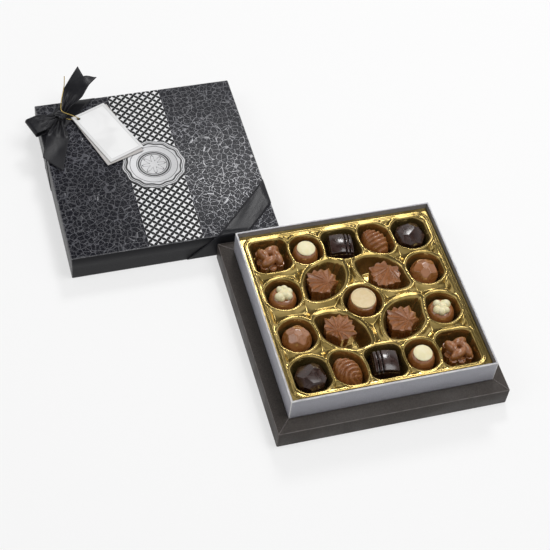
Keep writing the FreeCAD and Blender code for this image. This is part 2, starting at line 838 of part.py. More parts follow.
def gold_string():
    """A thin round string along straight runs joined by the widest arcs that fit."""
    points = [Vector(x, y, lid_top + z) for x, y, z in string_route]
    edges, radii = [], []
    start = points[0]
    for before, here, after in zip(points, points[1:], points[2:]):
        arrive, leave = here - before, after - here
        turn = arrive.getAngle(leave)
        share = string_arc_share * min(arrive.Length, leave.Length)
        radius = share / math.tan(turn / 2)
        inward = (leave.normalize() - arrive.normalize()).normalize()
        first, last = here - arrive * share, here + leave * share
        middle = here + inward * (radius / math.cos(turn / 2) - radius)
        edges += [Part.LineSegment(start, first).toShape(), Part.Arc(first, middle, last).toShape()]
        radii.append(radius)
        start = last
    edges.append(Part.LineSegment(start, points[-1]).toShape())
    path = Part.Wire(edges)
    length = path.Length
    section = Part.Wire(Part.makeCircle(string_diameter / 2, points[0], points[1] - points[0]))
    tube = path.makePipeShell([section], True, False)
    whole = math.pi * (string_diameter / 2) ** 2 * length
    print("string radii", [round(r, 2) for r in radii])
    print("string length", round(length, 1), "volume share", round(tube.Volume / whole, 4))
    return tube


def main():
    """Builds every piece and writes it under its name."""
    os.makedirs("parts", exist_ok=True)
    pieces = {"bottom_board": square_prism(flange_half - rail_board - mitre_gap, 0, bottom_board)}
    for quarter, side in enumerate(("front", "right", "back", "left")):
        pieces[f"plinth_rail_{side}"] = rail(quarter)
    pieces["neck_tray"] = neck_tray()
    pieces["platform"] = platform()
    pieces["gold_insert"] = gold_insert()
    for number, (kind, x_share, y_share, turn) in enumerate(praline_place_shares, 1):
        body = praline_makers[kind]()
        pieces[f"praline_{number:02d}_{kind}"] = placed(body, x_share, y_share, turn, praline_base)
        if kind in topping_makers:
            name, maker = topping_makers[kind]
            pieces[f"praline_{number:02d}_{name}"] = placed(maker(), x_share, y_share, turn, praline_base)
    band = corner_band()
    lid_pieces = {
        "lid_board": lid_board(),
        "lid_cover": lid_cover(),
        "lid_lattice_band": lattice_band(),
        "lid_seal": foil_seal(),
        "ribbon_band_rear": band,
        "ribbon_band_front": spun(band, 180),
        "ribbon_knot": bow_knot(),
        "ribbon_tail_upper": bow_piece(upper_tail(), upper_tail_heading),
        "ribbon_tail_lower": bow_piece(lower_tail(), lower_tail_heading),
        "ribbon_loop": bow_piece(bow_loop(), loop_heading),
        "gold_string": gold_string(),
        "tag_back": tag_card_at(tag_margin, tag_fan, tag_back_base),
        "tag_front": tag_card_at(0, 0, tag_front_base),
    }
    for name, shape in lid_pieces.items():
        pieces[name] = moved(shape, lid_place)
    for name, shape in pieces.items():
        shape.exportStep(f"parts/{name}.step")
        print(name, len(shape.Solids), round(shape.Volume, 1), shape.isValid())


main()
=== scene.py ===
"""Looks of an opened chocolate box: plinth, tray, gold insert, pralines, lid, ribbon and gift tag.

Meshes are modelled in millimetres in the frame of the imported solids, and turned into metres as they
are finished.
"""

import logging
import math
from dataclasses import dataclass, field
from enum import Enum
from functools import cache
from typing import Any, Callable, Optional, Sequence, Union

import bmesh
import bpy
import numpy as np
from mathutils import Matrix, Vector


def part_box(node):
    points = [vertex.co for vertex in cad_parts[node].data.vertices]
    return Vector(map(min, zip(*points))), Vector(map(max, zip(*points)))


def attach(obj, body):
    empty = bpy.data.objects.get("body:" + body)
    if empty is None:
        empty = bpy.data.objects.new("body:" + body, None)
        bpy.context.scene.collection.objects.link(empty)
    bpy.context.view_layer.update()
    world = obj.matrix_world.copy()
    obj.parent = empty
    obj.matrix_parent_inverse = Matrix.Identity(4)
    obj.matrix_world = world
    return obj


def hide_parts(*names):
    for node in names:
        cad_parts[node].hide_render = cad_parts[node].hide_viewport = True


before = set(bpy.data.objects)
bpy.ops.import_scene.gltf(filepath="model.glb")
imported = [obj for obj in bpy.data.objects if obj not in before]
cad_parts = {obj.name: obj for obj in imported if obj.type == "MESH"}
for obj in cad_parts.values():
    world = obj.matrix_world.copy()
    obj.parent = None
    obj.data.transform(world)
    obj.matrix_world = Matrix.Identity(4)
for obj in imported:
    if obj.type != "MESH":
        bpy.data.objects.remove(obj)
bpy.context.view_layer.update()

log = logging.getLogger("chocolate_box")

MM = 0.001
WELD = 0.002
ORIGIN = (0.0, 0.0, 0.0)
# Grey board; its pale edge colour stands for rubbed board and a painted highlight.
GREY_BOARD = {"colour": (0.30, 0.29, 0.28, 1), "worn_highlight": (0.4, 0.39, 0.37, 1), "roughness": 0.85}

Colour = tuple[float, float, float, float]
Pair = tuple[float, float]
Triple = tuple[float, float, float]
Profile = list[Pair]
Mesh = bmesh.types.BMesh
Socket = bpy.types.NodeSocket
Tree = bpy.types.NodeTree
Input = Union[float, Sequence[float], Socket]


class Kind(Enum):
    """The nine shapes of praline."""

    KNOT = "knot"
    CUP = "cup"
    BLOCK = "block"
    SWIRL = "swirl"
    GEM = "gem"
    EGG = "egg"
    LEAF = "leaf"
    BALL = "ball"
    DRUM = "drum"


def mm_box(node: str) -> tuple[Vector, Vector]:
    """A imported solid's lowest and highest corner at rest, in millimetres."""
    low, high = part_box(node)
    return low / MM, high / MM


def ease(value: float, low: float, high: float) -> float:
    """A soft step from 0 at low to 1 at high."""
    share = min(1.0, max(0.0, (value - low) / (high - low)))
    return share * share * (3 - 2 * share)


def shaded(colour: Colour, share: float) -> Colour:
    """A colour made darker or lighter by a share."""
    return *(min(1.0, part * share) for part in colour[:3]), 1.0


class Graph:
    """A node tree with short ways to add nodes and join them."""

    def __init__(self, tree: Tree) -> None:
        """Wraps a node tree."""
        self.tree = tree

    @classmethod
    def of(cls, holder: Any) -> "Graph":
        """The node tree of a new material or world, emptied.

        Args:
            holder: The material or world.

        Returns:
            Its graph.
        """
        holder.use_nodes = True
        holder.node_tree.nodes.clear()
        return cls(holder.node_tree)

    def feed(self, socket: Socket, value: Input) -> None:
        """Links a socket to another one, or sets it to a constant.

        Args:
            socket: The input to feed.
            value: An output to link, or the constant.
        """
        if isinstance(value, Socket):
            self.tree.links.new(value, socket)
        else:
            socket.default_value = value

    def add(self, kind: str, inputs: Optional[dict[Any, Input]] = None, **settings: Any) -> bpy.types.Node:
        """Adds a node.

        Args:
            kind: The node's type.
            inputs: Values or links by input name or number.
            **settings: Properties of the node.

        Returns:
            The new node.
        """
        node = self.tree.nodes.new(kind)
        for name, value in settings.items():
            setattr(node, name, value)
        for name, value in (inputs or {}).items():
            self.feed(node.inputs[name], value)
        return node

    def math(self, operation: str, *values: Input) -> Socket:
        """A Math node's result."""
        return self.add("ShaderNodeMath", dict(enumerate(values)), operation=operation).outputs[0]

    def vector(self, operation: str, *values: Input) -> Socket:
        """A Vector Math node's result, which is a value for a length."""
        node = self.add("ShaderNodeVectorMath", dict(enumerate(values)), operation=operation)
        return node.outputs["Value" if operation == "LENGTH" else "Vector"]

    def split(self, vector: Input) -> list[Socket]:
        """The x, y and z of a vector."""
        return list(self.add("ShaderNodeSeparateXYZ", {"Vector": vector}).outputs)

    def mix(self, share: Input, first: Input, second: Input) -> Socket:
        """A blend of two colours, by the share of the second."""
        return self.add("ShaderNodeMix", {0: share, 6: first, 7: second}, data_type="RGBA").outputs[2]

    def span(self, value: Input, low: Input, high: Input, start: float = 0.0, end: float = 1.0) -> Socket:
        """A soft step of a value, with start as the result below low and end above high."""
        inputs = {"Value": value, "From Min": low, "From Max": high, "To Min": start, "To Max": end}
        return self.add("ShaderNodeMapRange", inputs, interpolation_type="SMOOTHSTEP").outputs[0]

    def ramp(self, share: Input, start: float, end: float) -> Socket:
        """A soft step from start to end as a share goes from 0 to 1."""
        return self.span(share, 0.0, 1.0, start, end)

    def point(self, centre: Sequence[float] = ORIGIN, turn: float = 0.0) -> Socket:
        """Object coordinates in millimetres.

        Args:
            centre: Where they start, in millimetres.
            turn: The turn of their axes about the upright, in degrees.

        Returns:
            The coordinates.
        """
        place = self.add("ShaderNodeTexCoord").outputs["Object"]
        inputs = {"Vector": place, "Location": -Vector(centre), "Scale": (1 / MM,) * 3}
        moved = self.add("ShaderNodeMapping", inputs).outputs["Vector"]
        if not turn:
            return moved
        spin = {"Vector": moved, "Rotation": (0.0, 0.0, -math.radians(turn))}
        return self.add("ShaderNodeMapping", spin).outputs["Vector"]

    def noise(self, vector: Input, scale: Input, detail: float, **more: Input) -> Socket:
        """A noise value about 0.5."""
        inputs = {"Vector": vector, "Scale": scale, "Detail": detail, **more}
        return self.add("ShaderNodeTexNoise", inputs).outputs[0]

    def bump(self, height: Input, depth: float) -> Socket:
        """A bumped normal, where a height of 1 stands for a depth in millimetres."""
        inputs = {"Height": height, "Distance": depth * MM, "Strength": 1.0}
        return self.add("ShaderNodeBump", inputs).outputs["Normal"]

    def effect(self, tree: Tree, **inputs: Input) -> bpy.types.NodeOutputs:
        """The outputs of a shared effect."""
        return self.add("ShaderNodeGroup", inputs, node_tree=tree).outputs


class Effects:
    """Shader node groups that several finishes share, each built once."""

    @staticmethod
    def group(name: str, sizes: dict[str, str], wire: Callable[[Graph, Any], dict[str, Socket]]) -> Tree:
        """Finds or builds a node group that reads a point.

        Args:
            name: The group's name.
            sizes: Its other inputs, each with its kind.
            wire: Joins the nodes and returns what each output gets.

        Returns:
            The group.
        """
        found = bpy.data.node_groups.get(name)
        if found:
            return found
        tree = bpy.data.node_groups.new(name, "ShaderNodeTree")
        for label, kind in {"Point": "Vector", **sizes}.items():
            tree.interface.new_socket(label, in_out="INPUT", socket_type=f"NodeSocket{kind}")
        graph = Graph(tree)
        results = wire(graph, graph.add("NodeGroupInput").outputs)
        for label in results:
            tree.interface.new_socket(label, in_out="OUTPUT", socket_type="NodeSocketFloat")
        graph.add("NodeGroupOutput", results)
        return tree

    @classmethod
    def grain(cls) -> Tree:
        """Fine grain of paper, card and chocolate: a tone and a height.

        Returns:
            The node group.
        """

        def wire(graph: Graph, given: Any) -> dict[str, Socket]:
            """Two layers of noise.

            Args:
                graph: The node tree to add to.
                given: The group's inputs.

            Returns:
                What each output gets.
            """
            scale = graph.math("DIVIDE", 1.0, given["Size"])
            coarse = graph.noise(given["Point"], scale, 2.0)
            fine = graph.noise(given["Point"], graph.math("MULTIPLY", scale, 3.7), 3.0)
            both = graph.math("MULTIPLY_ADD", fine, 0.5, graph.math("MULTIPLY", coarse, 0.5))
            return {"Tone": graph.span(coarse, 0.3, 0.7), "Height": both}

        return cls.group("fine_grain", {"Size": "Float"}, wire)

    @classmethod
    def mottle(cls) -> Tree:
        """Broad soft patches, for uneven gloss and tone.

        Returns:
            The node group.
        """

        def wire(graph: Graph, given: Any) -> dict[str, Socket]:
            """One warped layer of noise."""
            scale = graph.math("DIVIDE", 1.0, given["Size"])
            return {"Tone": graph.span(graph.noise(given["Point"], scale, 1.5, Distortion=0.6), 0.32, 0.68)}

        return cls.group("soft_mottle", {"Size": "Float"}, wire)

    @classmethod
    def edge_wear_highlight(cls) -> Tree:
        """A mask along the edges of a box, where paper rubs pale and where a highlight is painted.

        Returns:
            The node group.
        """

        def wire(graph: Graph, given: Any) -> dict[str, Socket]:
            """The second smallest distance to the box's sides, broken up by noise.

            Args:
                graph: The node tree to add to.
                given: The group's inputs.

            Returns:
                What each output gets.
            """
            inside = graph.vector("SUBTRACT", given["Half"], graph.vector("ABSOLUTE", given["Point"]))
            x, y, z = graph.split(graph.vector("ABSOLUTE", inside))
            second = graph.math("MINIMUM", graph.math("MAXIMUM", x, y), z)
            second = graph.math("MAXIMUM", graph.math("MINIMUM", x, y), second)
            # Edge mask: rubbed paper and a painted highlight line along the box's edges.
            edge = graph.span(second, 0.0, given["Width"], 1.0, 0.0)
            rub = graph.span(graph.noise(given["Point"], 0.12, 3.0), 0.3, 0.6, 0.45, 1.0)
            return {"Edge": graph.math("MULTIPLY", edge, rub)}

        return cls.group("edge_wear_highlight", {"Half": "Vector", "Width": "Float"}, wire)


@dataclass(frozen=True)
class Finish:
    """A surface finish, built as a material the first time it is asked for."""

    name: str

    @cache
    def material(self) -> bpy.types.Material:
        """The finish's material.

        Returns:
            The material.
        """
        material = bpy.data.materials.new(self.name)
        graph = Graph.of(material)
        surface = graph.add("ShaderNodeBsdfPrincipled", self.paint(graph))
        graph.add("ShaderNodeOutputMaterial", {"Surface": surface.outputs["BSDF"]})
        return material

    def paint(self, graph: Graph) -> dict[str, Input]:
        """What the material's Principled BSDF gets.

        Args:
            graph: The material's node tree.

        Returns:
            Values or links by input name.
        """
        raise NotImplementedError

    def dress(self, node: str) -> None:
        """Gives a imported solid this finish.

        Args:
            node: The solid's name.
        """
        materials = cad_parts[node].data.materials
        materials.clear()
        materials.append(self.material())


@dataclass(frozen=True)
class Paper(Finish):
    """Covering paper with fine grain, rubbed pale along the edges of its box, where a highlight is painted
    too.
    """

    colour: Colour
    worn_highlight: Colour
    centre: Triple = ORIGIN
    half: Triple = (1.0, 1.0, 1.0)
    wear_highlight_width: float = 1.0
    wear_highlight: float = 0.8
    roughness: float = 0.55
    uneven: float = 0.07
    patch: float = 38.0
    grain: float = 1.1
    depth: float = 0.06
    contrast: float = 0.22
    gloss: float = 0.5
    mitre_line: Optional[Pair] = None
    inside_colour: Optional[Colour] = None
    inside_depth: Pair = (2.1, 1.9)

    def paint(self, graph: Graph) -> dict[str, Input]:
        """Grain, pale rubbed edges with a painted highlight, a pale line down each mitre and another colour
        inside.

        Args:
            graph: The node tree to add to.

        Returns:
            Values or links by input name.
        """
        point = graph.point(self.centre)
        grain = graph.effect(Effects.grain(), Point=point, Size=self.grain)
        mottle = graph.effect(Effects.mottle(), Point=point, Size=self.patch)["Tone"]
        edge = graph.effect(Effects.edge_wear_highlight(), Point=point, Half=self.half, Width=self.wear_highlight_width)["Edge"]
        if self.mitre_line:
            x, y, _ = graph.split(graph.vector("ABSOLUTE", point))
            away = graph.math("ABSOLUTE", graph.math("SUBTRACT", x, y))
            edge = graph.math("MAXIMUM", edge, graph.span(away, *self.mitre_line, 1.0, 0.0))
        dark, light = (shaded(self.colour, 1 + change) for change in (-self.contrast, self.contrast))
        tone = graph.mix(grain["Tone"], dark, light)
        if self.inside_colour:
            x, y, _ = graph.split(graph.vector("ABSOLUTE", point))
            low, high = (self.half[0] - depth for depth in self.inside_depth)
            tone = graph.mix(graph.span(graph.math("MAXIMUM", x, y), low, high), self.inside_colour, tone)
        return {
            # Pale edge colour: rubbed paper and a painted highlight along the edges.
            "Base Color": graph.mix(graph.math("MULTIPLY", edge, self.wear_highlight), tone, self.worn_highlight),
            "Roughness": graph.ramp(mottle, self.roughness - self.uneven, self.roughness + self.uneven),
            "Specular IOR Level": self.gloss,
            "Normal": graph.bump(grain["Height"], self.depth),
        }


@dataclass(frozen=True)
class Crackle(Finish):
    """Black paper embossed with a crackle on the lid's top, and smooth on its sides."""

    plate: Colour
    vein: Colour
    side: Colour
    worn_highlight: Colour
    centre: Triple
    half: Triple
    layers: tuple[Pair, ...] = ((6.4, 0.085), (3.84, 0.035))
    warp: float = 2.6
    warp_scale: float = 0.22
    patch: float = 60.0
    fade: Pair = (0.55, 1.0)
    grain: float = 0.8
    top_edge: Pair = (1.1, 0.2)
    gloss: Pair = (0.14, 0.85)
    roughness: Pair = (0.32, 0.38)
    vein_roughness: float = -0.06
    wear_highlight_width: float = 1.3
    wear_highlight: float = 0.75
    depth: float = 0.4

    def paint(self, graph: Graph) -> dict[str, Input]:
        """Warped cells of two sizes, with pale veins between them.

        Args:
            graph: The node tree to add to.

        Returns:
            Values or links by input name.
        """
        point = graph.point(self.centre)
        noise = graph.add("ShaderNodeTexNoise", {"Vector": point, "Scale": self.warp_scale, "Detail": 2.0})
        stray = graph.vector("SUBTRACT", noise.outputs["Color"], (0.5, 0.5, 0.5))
        shift = graph.add("ShaderNodeVectorMath", {0: stray, "Scale": self.warp}, operation="SCALE")
        moved = graph.vector("ADD", point, shift.outputs["Vector"])
        place = graph.vector("MULTIPLY", moved, (1.0, 1.0, 0.0))
        veins = []
        for cell, width in self.layers:
            inputs = {"Vector": place, "Scale": 1 / cell, "Randomness": 1.0}
            away = graph.add("ShaderNodeTexVoronoi", inputs, feature="DISTANCE_TO_EDGE").outputs["Distance"]
            veins.append(graph.span(away, width / 4, width, 1.0, 0.0))
        top = graph.span(graph.split(point)[2], *(self.half[2] - depth for depth in self.top_edge))
        vein = graph.math("MULTIPLY", graph.math("MAXIMUM", *veins), top)
        fade = graph.effect(Effects.mottle(), Point=point, Size=self.patch)["Tone"]
        pale = graph.math("MULTIPLY", vein, graph.ramp(fade, *self.fade))
        grain = graph.effect(Effects.grain(), Point=point, Size=self.grain)
        edge = graph.effect(Effects.edge_wear_highlight(), Point=point, Half=self.half, Width=self.wear_highlight_width)["Edge"]
        side = graph.mix(grain["Tone"], shaded(self.side, 0.8), self.side)
        colour = graph.mix(top, side, graph.mix(pale, self.plate, self.vein))
        rough = graph.ramp(grain["Tone"], *self.roughness)
        return {
            # The lid's edges get a pale colour: rubbed paper and a painted highlight line.
            "Base Color": graph.mix(graph.math("MULTIPLY", edge, self.wear_highlight), colour, self.worn_highlight),
            "Specular IOR Level": graph.ramp(vein, *self.gloss),
            "Roughness": graph.math("MULTIPLY_ADD", vein, self.vein_roughness, rough),
            "Normal": graph.bump(graph.math("MULTIPLY_ADD", grain["Height"], 0.15, vein), self.depth),
        }


@dataclass(frozen=True)
class Lattice(Finish):
    """Silver foil printed with black petals along a slanting lattice, which leaves four-pointed stars."""

    foil: Colour
    ink: Colour
    line: Colour
    centre: Triple
    pitch: float = 7.1
    petal: float = 0.2
    stem: float = 0.035
    soft: float = 0.012
    line_edge: Pair = (0.012, 0.03)
    roughness: Pair = (0.42, 0.45)
    metallic: Pair = (0.12, 0.0)
    gloss: Pair = (0.25, 0.1)
    grain: float = 0.7
    depth: float = 0.05

    def paint(self, graph: Graph) -> dict[str, Input]:
        """Two sets of petals, one along each diagonal.

        Args:
            graph: The node tree to add to.

        Returns:
            Values or links by input name.
        """
        x, y, _ = graph.split(graph.point(self.centre))
        step = self.pitch * math.sqrt(2)
        sums = [graph.math(way, x, y) for way in ("ADD", "SUBTRACT")]
        across, along = (graph.math("FRACT", graph.math("DIVIDE", total, step)) for total in sums)
        petals, lines = [], []
        for distance, run in ((across, along), (along, across)):
            near = graph.math("MINIMUM", distance, graph.math("SUBTRACT", 1.0, distance))
            swell = graph.math("MULTIPLY", run, graph.math("SUBTRACT", 1.0, run))
            width = graph.math("MULTIPLY_ADD", swell, 4 * self.petal, self.stem)
            petals.append(graph.span(graph.math("SUBTRACT", near, width), -self.soft, self.soft, 1.0, 0.0))
            lines.append(graph.span(near, *self.line_edge, 1.0, 0.0))
        ink = graph.math("MAXIMUM", *petals)
        grain = graph.effect(Effects.grain(), Point=graph.point(), Size=self.grain)
        foil = graph.mix(grain["Tone"], shaded(self.foil, 0.9), self.foil)
        return {
            "Base Color": graph.mix(graph.math("MAXIMUM", *lines), graph.mix(ink, foil, self.ink), self.line),
            "Roughness": graph.ramp(ink, *self.roughness),
            "Metallic": graph.ramp(ink, *self.metallic),
            "Specular IOR Level": graph.ramp(ink, *self.gloss),
            "Normal": graph.bump(graph.math("MULTIPLY_ADD", grain["Height"], 0.2, ink), self.depth),
        }


@dataclass(frozen=True)
class SealFoil(Finish):
    """Pressed silver foil with dark rings, wavy near the scalloped edge and round further in."""

    foil: Colour
    ink: Colour
    centre: Triple
    radius: float
    scallop: float
    lobes: int
    petals: int
    edge_rings: tuple[Pair, ...] = ((0.0, 0.8), (2.1, 2.9), (3.9, 6.0))
    inner_rings: tuple[Pair, ...] = ((14.4, 15.3), (16.2, 18.2), (19.1, 19.8), (26.6, 27.2))
    rosette: Pair = (4.2, 9.0)
    rosette_line: Pair = (0.35, 0.8)
    metallic: Pair = (0.3, 0.0)
    roughness: Pair = (0.4, 0.5)
    soft: float = 0.12
    grain: float = 0.9
    depth: float = 0.12

    def paint(self, graph: Graph) -> dict[str, Input]:
        """Dark lines at set distances from the edge and from the middle, and a plain rosette.

        Args:
            graph: The node tree to add to.

        Returns:
            Values or links by input name.
        """
        point = graph.point(self.centre)
        x, y, _ = graph.split(point)
        reach = graph.vector("LENGTH", graph.vector("MULTIPLY", point, (1.0, 1.0, 0.0)))
        angle = graph.math("ARCTAN2", y, x)
        wave, bloom = (
            graph.math("COSINE", graph.math("MULTIPLY", angle, float(count)))
            for count in (self.lobes, self.petals)
        )
        rim = graph.math("MULTIPLY_ADD", wave, self.scallop / 2, self.radius - self.scallop / 2)
        inward = graph.math("SUBTRACT", rim, reach)
        away = graph.math("SUBTRACT", reach, graph.math("MULTIPLY_ADD", bloom, *self.rosette))
        ink = graph.span(graph.math("ABSOLUTE", away), *self.rosette_line, 1.0, 0.0)
        for distance, rings in ((inward, self.edge_rings), (reach, self.inner_rings)):
            for low, high in rings:
                rise = graph.span(distance, low - self.soft, low + self.soft)
                fall = graph.span(distance, high - self.soft, high + self.soft, 1.0, 0.0)
                ink = graph.math("MAXIMUM", ink, graph.math("MULTIPLY", rise, fall))
        grain = graph.effect(Effects.grain(), Point=point, Size=self.grain)
        foil = graph.mix(grain["Tone"], shaded(self.foil, 0.86), self.foil)
        height = graph.math("SUBTRACT", graph.math("MULTIPLY", grain["Height"], 0.15), ink)
        return {
            "Base Color": graph.mix(ink, foil, self.ink),
            "Metallic": graph.ramp(ink, *self.metallic),
            "Roughness": graph.ramp(grain["Tone"], *self.roughness),
            "Normal": graph.bump(height, self.depth),
        }


@dataclass(frozen=True)
class GoldFilm(Finish):
    """Thin metallised film, drawn and a little wavy."""

    colour: Colour
    deep: Colour
    metallic: float = 0.82
    roughness: Pair = (0.2, 0.14)
    patch: float = 16.0
    wave: float = 11.0
    depth: float = 0.14

    def paint(self, graph: Graph) -> dict[str, Input]:
        """Gold that deepens in patches, with the slight waves of drawn film.

        Args:
            graph: The node tree to add to.

        Returns:
            Values or links by input name.
        """
        point = graph.point()
        mottle = graph.effect(Effects.mottle(), Point=point, Size=self.patch)["Tone"]
        return {
            "Base Color": graph.mix(mottle, self.deep, self.colour),
            "Metallic": self.metallic,
            "Roughness": graph.ramp(mottle, *self.roughness),
            "Normal": graph.bump(graph.noise(point, 1 / self.wave, 1.0), self.depth),
        }


@dataclass(frozen=True)
class Chocolate(Finish):
    """Moulded chocolate with a soft gloss and paler patches."""

    colour: Colour
    pale: Colour
    roughness: float = 0.28
    coat: float = 0.9
    uneven: Pair = (-0.06, 0.08)
    pale_share: float = 0.55
    patch: float = 6.5
    grain: float = 0.7
    depth: float = 0.07

    def paint(self, graph: Graph) -> dict[str, Input]:
        """Tone patches, fine grain and uneven gloss.

        Args:
            graph: The node tree to add to.

        Returns:
            Values or links by input name.
        """
        point = graph.point()
        mottle = graph.effect(Effects.mottle(), Point=point, Size=self.patch)["Tone"]
        grain = graph.effect(Effects.grain(), Point=point, Size=self.grain)
        return {
            "Base Color": graph.mix(graph.ramp(mottle, 0.0, self.pale_share), self.colour, self.pale),
            "Roughness": graph.ramp(mottle, *(self.roughness + change for change in self.uneven)),
            "Coat Weight": self.coat,
            "Coat Roughness": 0.12,
            "Specular IOR Level": 0.28,
            "Subsurface Weight": 0.06,
            "Subsurface Radius": (0.0025, 0.0012, 0.0006),
            "Subsurface Scale": 1.0,
            "Normal": graph.bump(grain["Height"], self.depth),
        }


@dataclass(frozen=True)
class Satin(Finish):
    """Black satin: fine threads along the ribbon, woven selvedges and a soft sheen."""

    colour: Colour
    sheen: Colour
    half_width: float = 12.5
    hem: Pair = (11.3, 11.7)
    stretch: float = 0.06
    thread_scale: float = 2.4
    roughness: Pair = (0.3, 0.42)
    hem_roughness: float = 0.15
    weave: float = 0.4
    weave_share: float = 0.12
    depth: float = 0.05

    def paint(self, graph: Graph) -> dict[str, Input]:
        """Streaks along the ribbon from its own map, in millimetres across and along.

        Args:
            graph: The node tree to add to.

        Returns:
            Values or links by input name.
        """
        across, along, _ = graph.split(graph.add("ShaderNodeUVMap").outputs["UV"])
        streak = {"X": across, "Y": graph.math("MULTIPLY", along, self.stretch)}
        threads = graph.noise(graph.add("ShaderNodeCombineXYZ", streak).outputs[0], self.thread_scale, 2.0)
        away = graph.math("ABSOLUTE", graph.math("SUBTRACT", across, self.half_width))
        hem = graph.span(away, *self.hem)
        weave = graph.math("SINE", graph.math("MULTIPLY", along, 2 * math.pi / self.weave))
        height = graph.math("MULTIPLY_ADD", weave, self.weave_share, graph.math("ADD", threads, hem))
        rough = graph.span(threads, 0.2, 0.8, *self.roughness)
        return {
            "Base Color": graph.mix(threads, self.colour, self.sheen),
            "Roughness": graph.math("MULTIPLY_ADD", hem, self.hem_roughness, rough),
            "Sheen Weight": 0.12,
            "Specular IOR Level": 0.2,
            "Sheen Roughness": 0.35,
            "Anisotropic": 0.5,
            "Normal": graph.bump(height, self.depth),
        }


@dataclass(frozen=True)
class Thread(Finish):
    """Metallic gold thread wound in short slanting turns."""

    colour: Colour
    shade: Colour
    depth: float = 0.08

    def paint(self, graph: Graph) -> dict[str, Input]:
        """Fine bands of light and shade.

        Args:
            graph: The node tree to add to.

        Returns:
            Values or links by input name.
        """
        wave = {"Vector": graph.point(), "Scale": 0.55, "Distortion": 3.0, "Detail": 1.0}
        turns = graph.add("ShaderNodeTexWave", wave).outputs["Fac"]
        return {
            "Base Color": graph.mix(turns, self.shade, self.colour),
            "Metallic": 0.7,
            "Roughness": graph.ramp(turns, 0.45, 0.3),
            "Normal": graph.bump(turns, self.depth),
        }


@dataclass(frozen=True)
class Card(Finish):
    """Tag card with faint fibres, a pressed border line and a darker edge outside it."""

    colour: Colour
    shade: Colour
    hole: Triple
    heading: float
    low: Pair
    high: Pair
    border: float = 3.2
    line: Pair = (0.15, 0.5)
    soft: float = 0.2
    edge_shade: float = 0.65
    patch_shade: float = 0.3
    roughness: Pair = (0.42, 0.55)
    patch: float = 30.0
    grain: float = 0.9
    depth: float = 0.08

    def paint(self, graph: Graph) -> dict[str, Input]:
        """A border line at a set distance from the card's edges.

        Args:
            graph: The node tree to add to.

        Returns:
            Values or links by input name.
        """
        point = graph.point(self.hole, self.heading)
        sides = []
        for value, low, high in zip(graph.split(point), self.low, self.high):
            sides += [graph.math("SUBTRACT", value, low), graph.math("SUBTRACT", high, value)]
        inward = graph.math("MINIMUM", graph.math("MINIMUM", *sides[:2]), graph.math("MINIMUM", *sides[2:]))
        away = graph.math("ABSOLUTE", graph.math("SUBTRACT", inward, self.border))
        line = graph.span(away, *self.line, 1.0, 0.0)
        edge = graph.span(inward, self.border - self.soft, self.border + self.soft, self.edge_shade, 0.0)
        grain = graph.effect(Effects.grain(), Point=point, Size=self.grain)
        mottle = graph.effect(Effects.mottle(), Point=point, Size=self.patch)["Tone"]
        tone = graph.mix(graph.ramp(mottle, 0.0, self.patch_shade), self.colour, self.shade)
        height = graph.math("SUBTRACT", graph.math("MULTIPLY", grain["Height"], 0.2), line)
        return {
            "Base Color": graph.mix(graph.math("MAXIMUM", line, edge), tone, self.shade),
            "Roughness": graph.ramp(grain["Tone"], *self.roughness),
            "Normal": graph.bump(height, self.depth),
        }


def turned(profile: Profile, steps: int = 72) -> Mesh:
    """Spins a profile about the upright axis.

    Args:
        profile: Radius and height of each point, from the foot's middle to the crown.
        steps: How many steps a full turn has.

    Returns:
        The closed solid.
    """
    bm = bmesh.new()
    verts = [bm.verts.new((radius, 0.0, height)) for radius, height in profile]
    edges = [bm.edges.new(pair) for pair in zip(verts, verts[1:])]
    bmesh.ops.spin(
        bm, geom=verts + edges, cent=ORIGIN, axis=(0, 0, 1), angle=2 * math.pi, steps=steps, use_merge=True
    )
    bmesh.ops.remove_doubles(bm, verts=bm.verts, dist=WELD)
    bmesh.ops.recalc_face_normals(bm, faces=bm.faces)
    return bm


def eased(points: Profile, reach: float, steps: int = 5) -> Profile:
    """Rounds the inner corners of a profile.

    Args:
        points: The profile's corners.
        reach: How far a corner's curve goes along each side.
        steps: How many points a curve has.

    Returns:
        The rounded profile.
    """
    result = [points[0]]
    for before, here, after in zip(points, points[1:], points[2:]):
        corner = Vector(here)
        ends = []
        for other in (Vector(before), Vector(after)):
            side = other - corner
            ends.append(corner + side * min(0.5, reach / max(side.length, 1e-6)))
        for step in range(steps + 1):
            share = step / steps
            point = ends[0].lerp(corner, share).lerp(corner.lerp(ends[1], share), share)
            result.append((point.x, point.y))
    return result + [points[-1]]


def arc_through(start: Pair, middle: Pair, end: Pair, steps: int = 20) -> Profile:
    """Points along the arc through three points.

    Args:
        start: Its first point.
        middle: A point on the way.
        end: Its last point.
        steps: How many steps the arc has.

    Returns:
        The points.
    """
    a, b, c = Vector(start), Vector(middle), Vector(end)
    twice = 2 * (a.x * (b.y - c.y) + b.x * (c.y - a.y) + c.x * (a.y - b.y))
    squares = [p.length_squared for p in (a, b, c)]
    centre = Vector((
        squares[0] * (b.y - c.y) + squares[1] * (c.y - a.y) + squares[2] * (a.y - b.y),
        squares[0] * (c.x - b.x) + squares[1] * (a.x - c.x) + squares[2] * (b.x - a.x),
    )) / twice
    low, high = (math.atan2(p.y - centre.y, p.x - centre.x) for p in (a, c))
    radius = (a - centre).length
    angles = [low + (high - low) * step / steps for step in range(steps + 1)]
    return [(centre.x + radius * math.cos(angle), centre.y + radius * math.sin(angle)) for angle in angles]


def facing(azimuth: float, slope: float) -> Vector:
    """The unit vector along a compass angle and up a slope, both in degrees."""
    across, up = math.radians(azimuth), math.radians(slope)
    return Vector((math.cos(across) * math.cos(up), math.sin(across) * math.cos(up), math.sin(up)))


def only(kind: type, geometry: Sequence[Any]) -> list[Any]:
    """The parts of a mesh that are of one kind."""
    return [part for part in geometry if isinstance(part, kind)]


